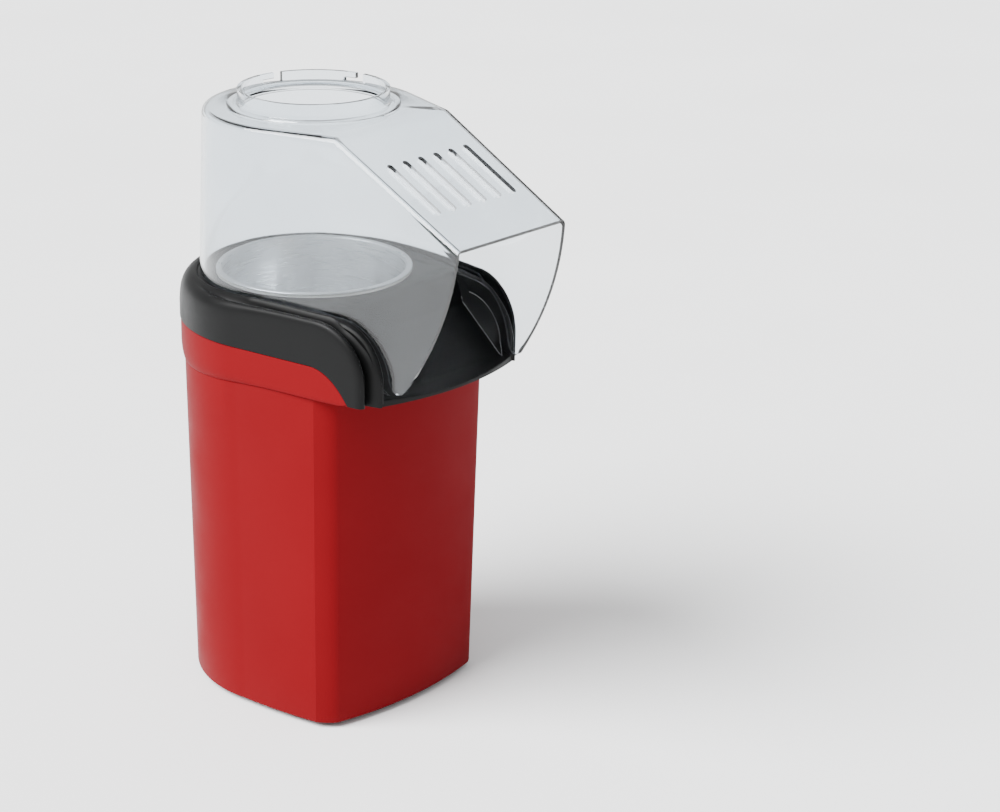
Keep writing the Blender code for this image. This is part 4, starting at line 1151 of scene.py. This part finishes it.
def metal(name, dark, light, rough, stretch, scale):
    """Metal with drawn or rolled lines along the stretched axis, and uneven dulling."""
    surface = Surface(name, sum(rough) / 2, 1.0)
    lines = surface.noise(scale, 4.0, stretch)
    surface.colour(surface.noise(30.0, 4.0, shift=2.0), dark, light)
    surface.roughness(lines, *rough)
    surface.bump(lines, 0.004)
    return surface.material


def clear_plastic():
    surface = Surface("clear_plastic", 0.03)
    shader = surface.shader
    shader.inputs["Transmission Weight"].default_value = 1.0
    shader.inputs["IOR"].default_value = 1.45
    haze = surface.noise(14.0, 3.0)
    surface.colour(haze, (0.775, 0.825, 0.865), (0.815, 0.86, 0.895))
    surface.roughness(surface.noise(60.0, 4.0, shift=1.7), 0.015, 0.05)
    surface.bump(surface.noise(18.0, 1.0, shift=4.0), 0.02, 0.4)
    return surface.material


def clear_rim():
    """The matt edge of the cover's foot, painted near-black as the shade in the gap where the foot sits."""
    surface = Surface("clear_rim", 0.5)
    surface.shader.inputs["Specular IOR Level"].default_value = 0.1
    grain = surface.noise(300.0, 3.0)
    # Near-black colour: painted shade on the foot's rim.
    surface.colour(grain, (0.008, 0.0083, 0.0088), (0.014, 0.0145, 0.015))
    surface.roughness(grain, 0.4, 0.6)
    surface.bump(grain, 0.03)
    return surface.material


def mica():
    surface = Surface("mica", 0.5)
    flakes = surface.noise(400.0, 3.0, (1.0, 1.0, 0.5))
    surface.colour(flakes, (0.42, 0.33, 0.22), (0.68, 0.58, 0.44))
    surface.roughness(flakes, 0.35, 0.7)
    surface.bump(surface.noise(900.0, 2.0), 0.02)
    return surface.material


def circuit_board():
    surface = Surface("board", 0.45)
    tracks = surface.noise(260.0, 2.0, (1.0, 0.25, 1.0))
    surface.colour(tracks, (0.02, 0.12, 0.05), (0.06, 0.24, 0.1), 0.45, 0.55)
    surface.roughness(surface.noise(150.0), 0.3, 0.6)
    surface.bump(tracks, 0.02)
    return surface.material


# Dark and light colour, roughness range, grain in millimetres, specular level and index of refraction
MOULDED = {
    "red_shell": ((0.124, 0.0030, 0.0052), (0.136, 0.0036, 0.0060), (0.42, 0.52), 0.010, 0.1, 1.22),
    "black_plastic": ((0.0020, 0.0021, 0.0022), (0.0030, 0.0031, 0.0032), (0.36, 0.50), 0.014, 0.3, 1.28),
    # The bead's look: a lighter grey than the black plastic, as a painted highlight along the chute panel's
    # edges.
    "painted_highlight_edge": ((0.024, 0.0245, 0.026), (0.04, 0.041, 0.043), (0.25, 0.4), 0.004, 0.4),
    "black_gloss": ((0.006, 0.006, 0.006), (0.009, 0.009, 0.009), (0.12, 0.22), 0.003, 0.5),
    "silicone": ((0.52, 0.51, 0.48), (0.60, 0.59, 0.56), (0.55, 0.7), 0.008, 0.35),
    "fan_plastic": ((0.05, 0.05, 0.053), (0.075, 0.075, 0.08), (0.4, 0.55), 0.01, 0.4),
    "rubber": ((0.012, 0.012, 0.012), (0.022, 0.022, 0.022), (0.7, 0.88), 0.03, 0.3),
    "blue_sleeve": ((0.02, 0.05, 0.2), (0.03, 0.07, 0.26), (0.25, 0.4), 0.004, 0.5),
    "lead_sleeve": ((0.58, 0.57, 0.53), (0.70, 0.69, 0.65), (0.6, 0.8), 0.05, 0.3),
}
# Dark and light colour, roughness range, stretch and scale of the drawn lines
METALS = {
    "aluminium": ((0.70, 0.71, 0.72), (0.80, 0.81, 0.82), (0.22, 0.40), (0.35, 0.35, 9.0), 160.0),
    "steel": ((0.42, 0.43, 0.44), (0.56, 0.57, 0.58), (0.3, 0.5), (4.0, 4.0, 0.4), 120.0),
    "bright_steel": ((0.62, 0.62, 0.60), (0.74, 0.74, 0.72), (0.2, 0.36), (1.0, 1.0, 1.0), 600.0),
    "heater_wire": ((0.2, 0.17, 0.15), (0.42, 0.38, 0.34), (0.35, 0.6), (1.0, 1.0, 1.0), 500.0),
}


def make_materials():
    materials = {name: moulded(name, *values) for name, values in MOULDED.items()}
    materials.update({name: metal(name, *values) for name, values in METALS.items()})
    materials.update(clear_plastic=clear_plastic(), clear_rim=clear_rim(), mica=mica())
    materials.update(board=circuit_board(), floor=floor_material())
    return materials


def floor_material():
    surface = Surface("floor", 0.7)
    surface.colour(surface.noise(2.0, 2.0), (0.84, 0.845, 0.85), (0.86, 0.865, 0.87))
    surface.roughness(surface.noise(8.0, 3.0), 0.62, 0.78)
    surface.bump(surface.noise(700.0, 2.0), 0.02)
    return surface.material


def paint_cad_nodes():
    """Gives every CAD node that stays its slot's material."""
    for part in frame["record"]["subparts"]:
        node = frame["nodes"][part["node"]]
        node.data.materials.clear()
        node.data.materials.append(MATERIALS[part["material_slot"]])


# Studio


def make_camera():
    camera = bpy.data.objects.new("camera", bpy.data.cameras.new("camera"))
    bpy.context.scene.collection.objects.link(camera)
    camera.data.sensor_width = 36.0
    camera.data.lens = 92.33
    camera.data.shift_x = 0.128
    camera.data.shift_y = -0.009
    camera.location = CAMERA_PLACE
    camera.rotation_mode = "QUATERNION"
    camera.rotation_quaternion = (-Vector(CAMERA_BACK)).to_track_quat("-Z", "Y")
    bpy.context.scene.camera = camera


def make_studio():
    world = bpy.data.worlds.new("studio")
    bpy.context.scene.world = world
    world.use_nodes = True
    background = world.node_tree.nodes["Background"]
    background.inputs["Color"].default_value = (1, 1, 1, 1)
    background.inputs["Strength"].default_value = 1.0
    sun = bpy.data.lights.new("key", "SUN")
    sun.energy = 11.0
    sun.angle = math.radians(40)
    lamp = bpy.data.objects.new("key", sun)
    lamp.rotation_mode = "QUATERNION"
    lamp.rotation_quaternion = Vector(SUN_WAY).to_track_quat("-Z", "Y")
    bpy.context.scene.collection.objects.link(lamp)
    bm = bmesh.new()
    bmesh.ops.create_grid(bm, x_segments=1, y_segments=1, size=20.0)
    mesh = bpy.data.meshes.new("floor")
    bm.to_mesh(mesh)
    bm.free()
    floor = bpy.data.objects.new("floor", mesh)
    floor.location.z = min(cad_box[0].z, 0.0)
    mesh.materials.append(MATERIALS["floor"])
    bpy.context.scene.collection.objects.link(floor)


MATERIALS = make_materials()
make_camera()
make_studio()
make_shell()
make_collar()
make_rails()
make_chute_floor()
make_cover()
for side in (-1, 1):
    make_panel_bead(side)
make_chamber()
make_bezel()
make_inlet()
make_feet()
make_duct()
make_motor()
paint_cad_nodes()
round_cad_nodes()
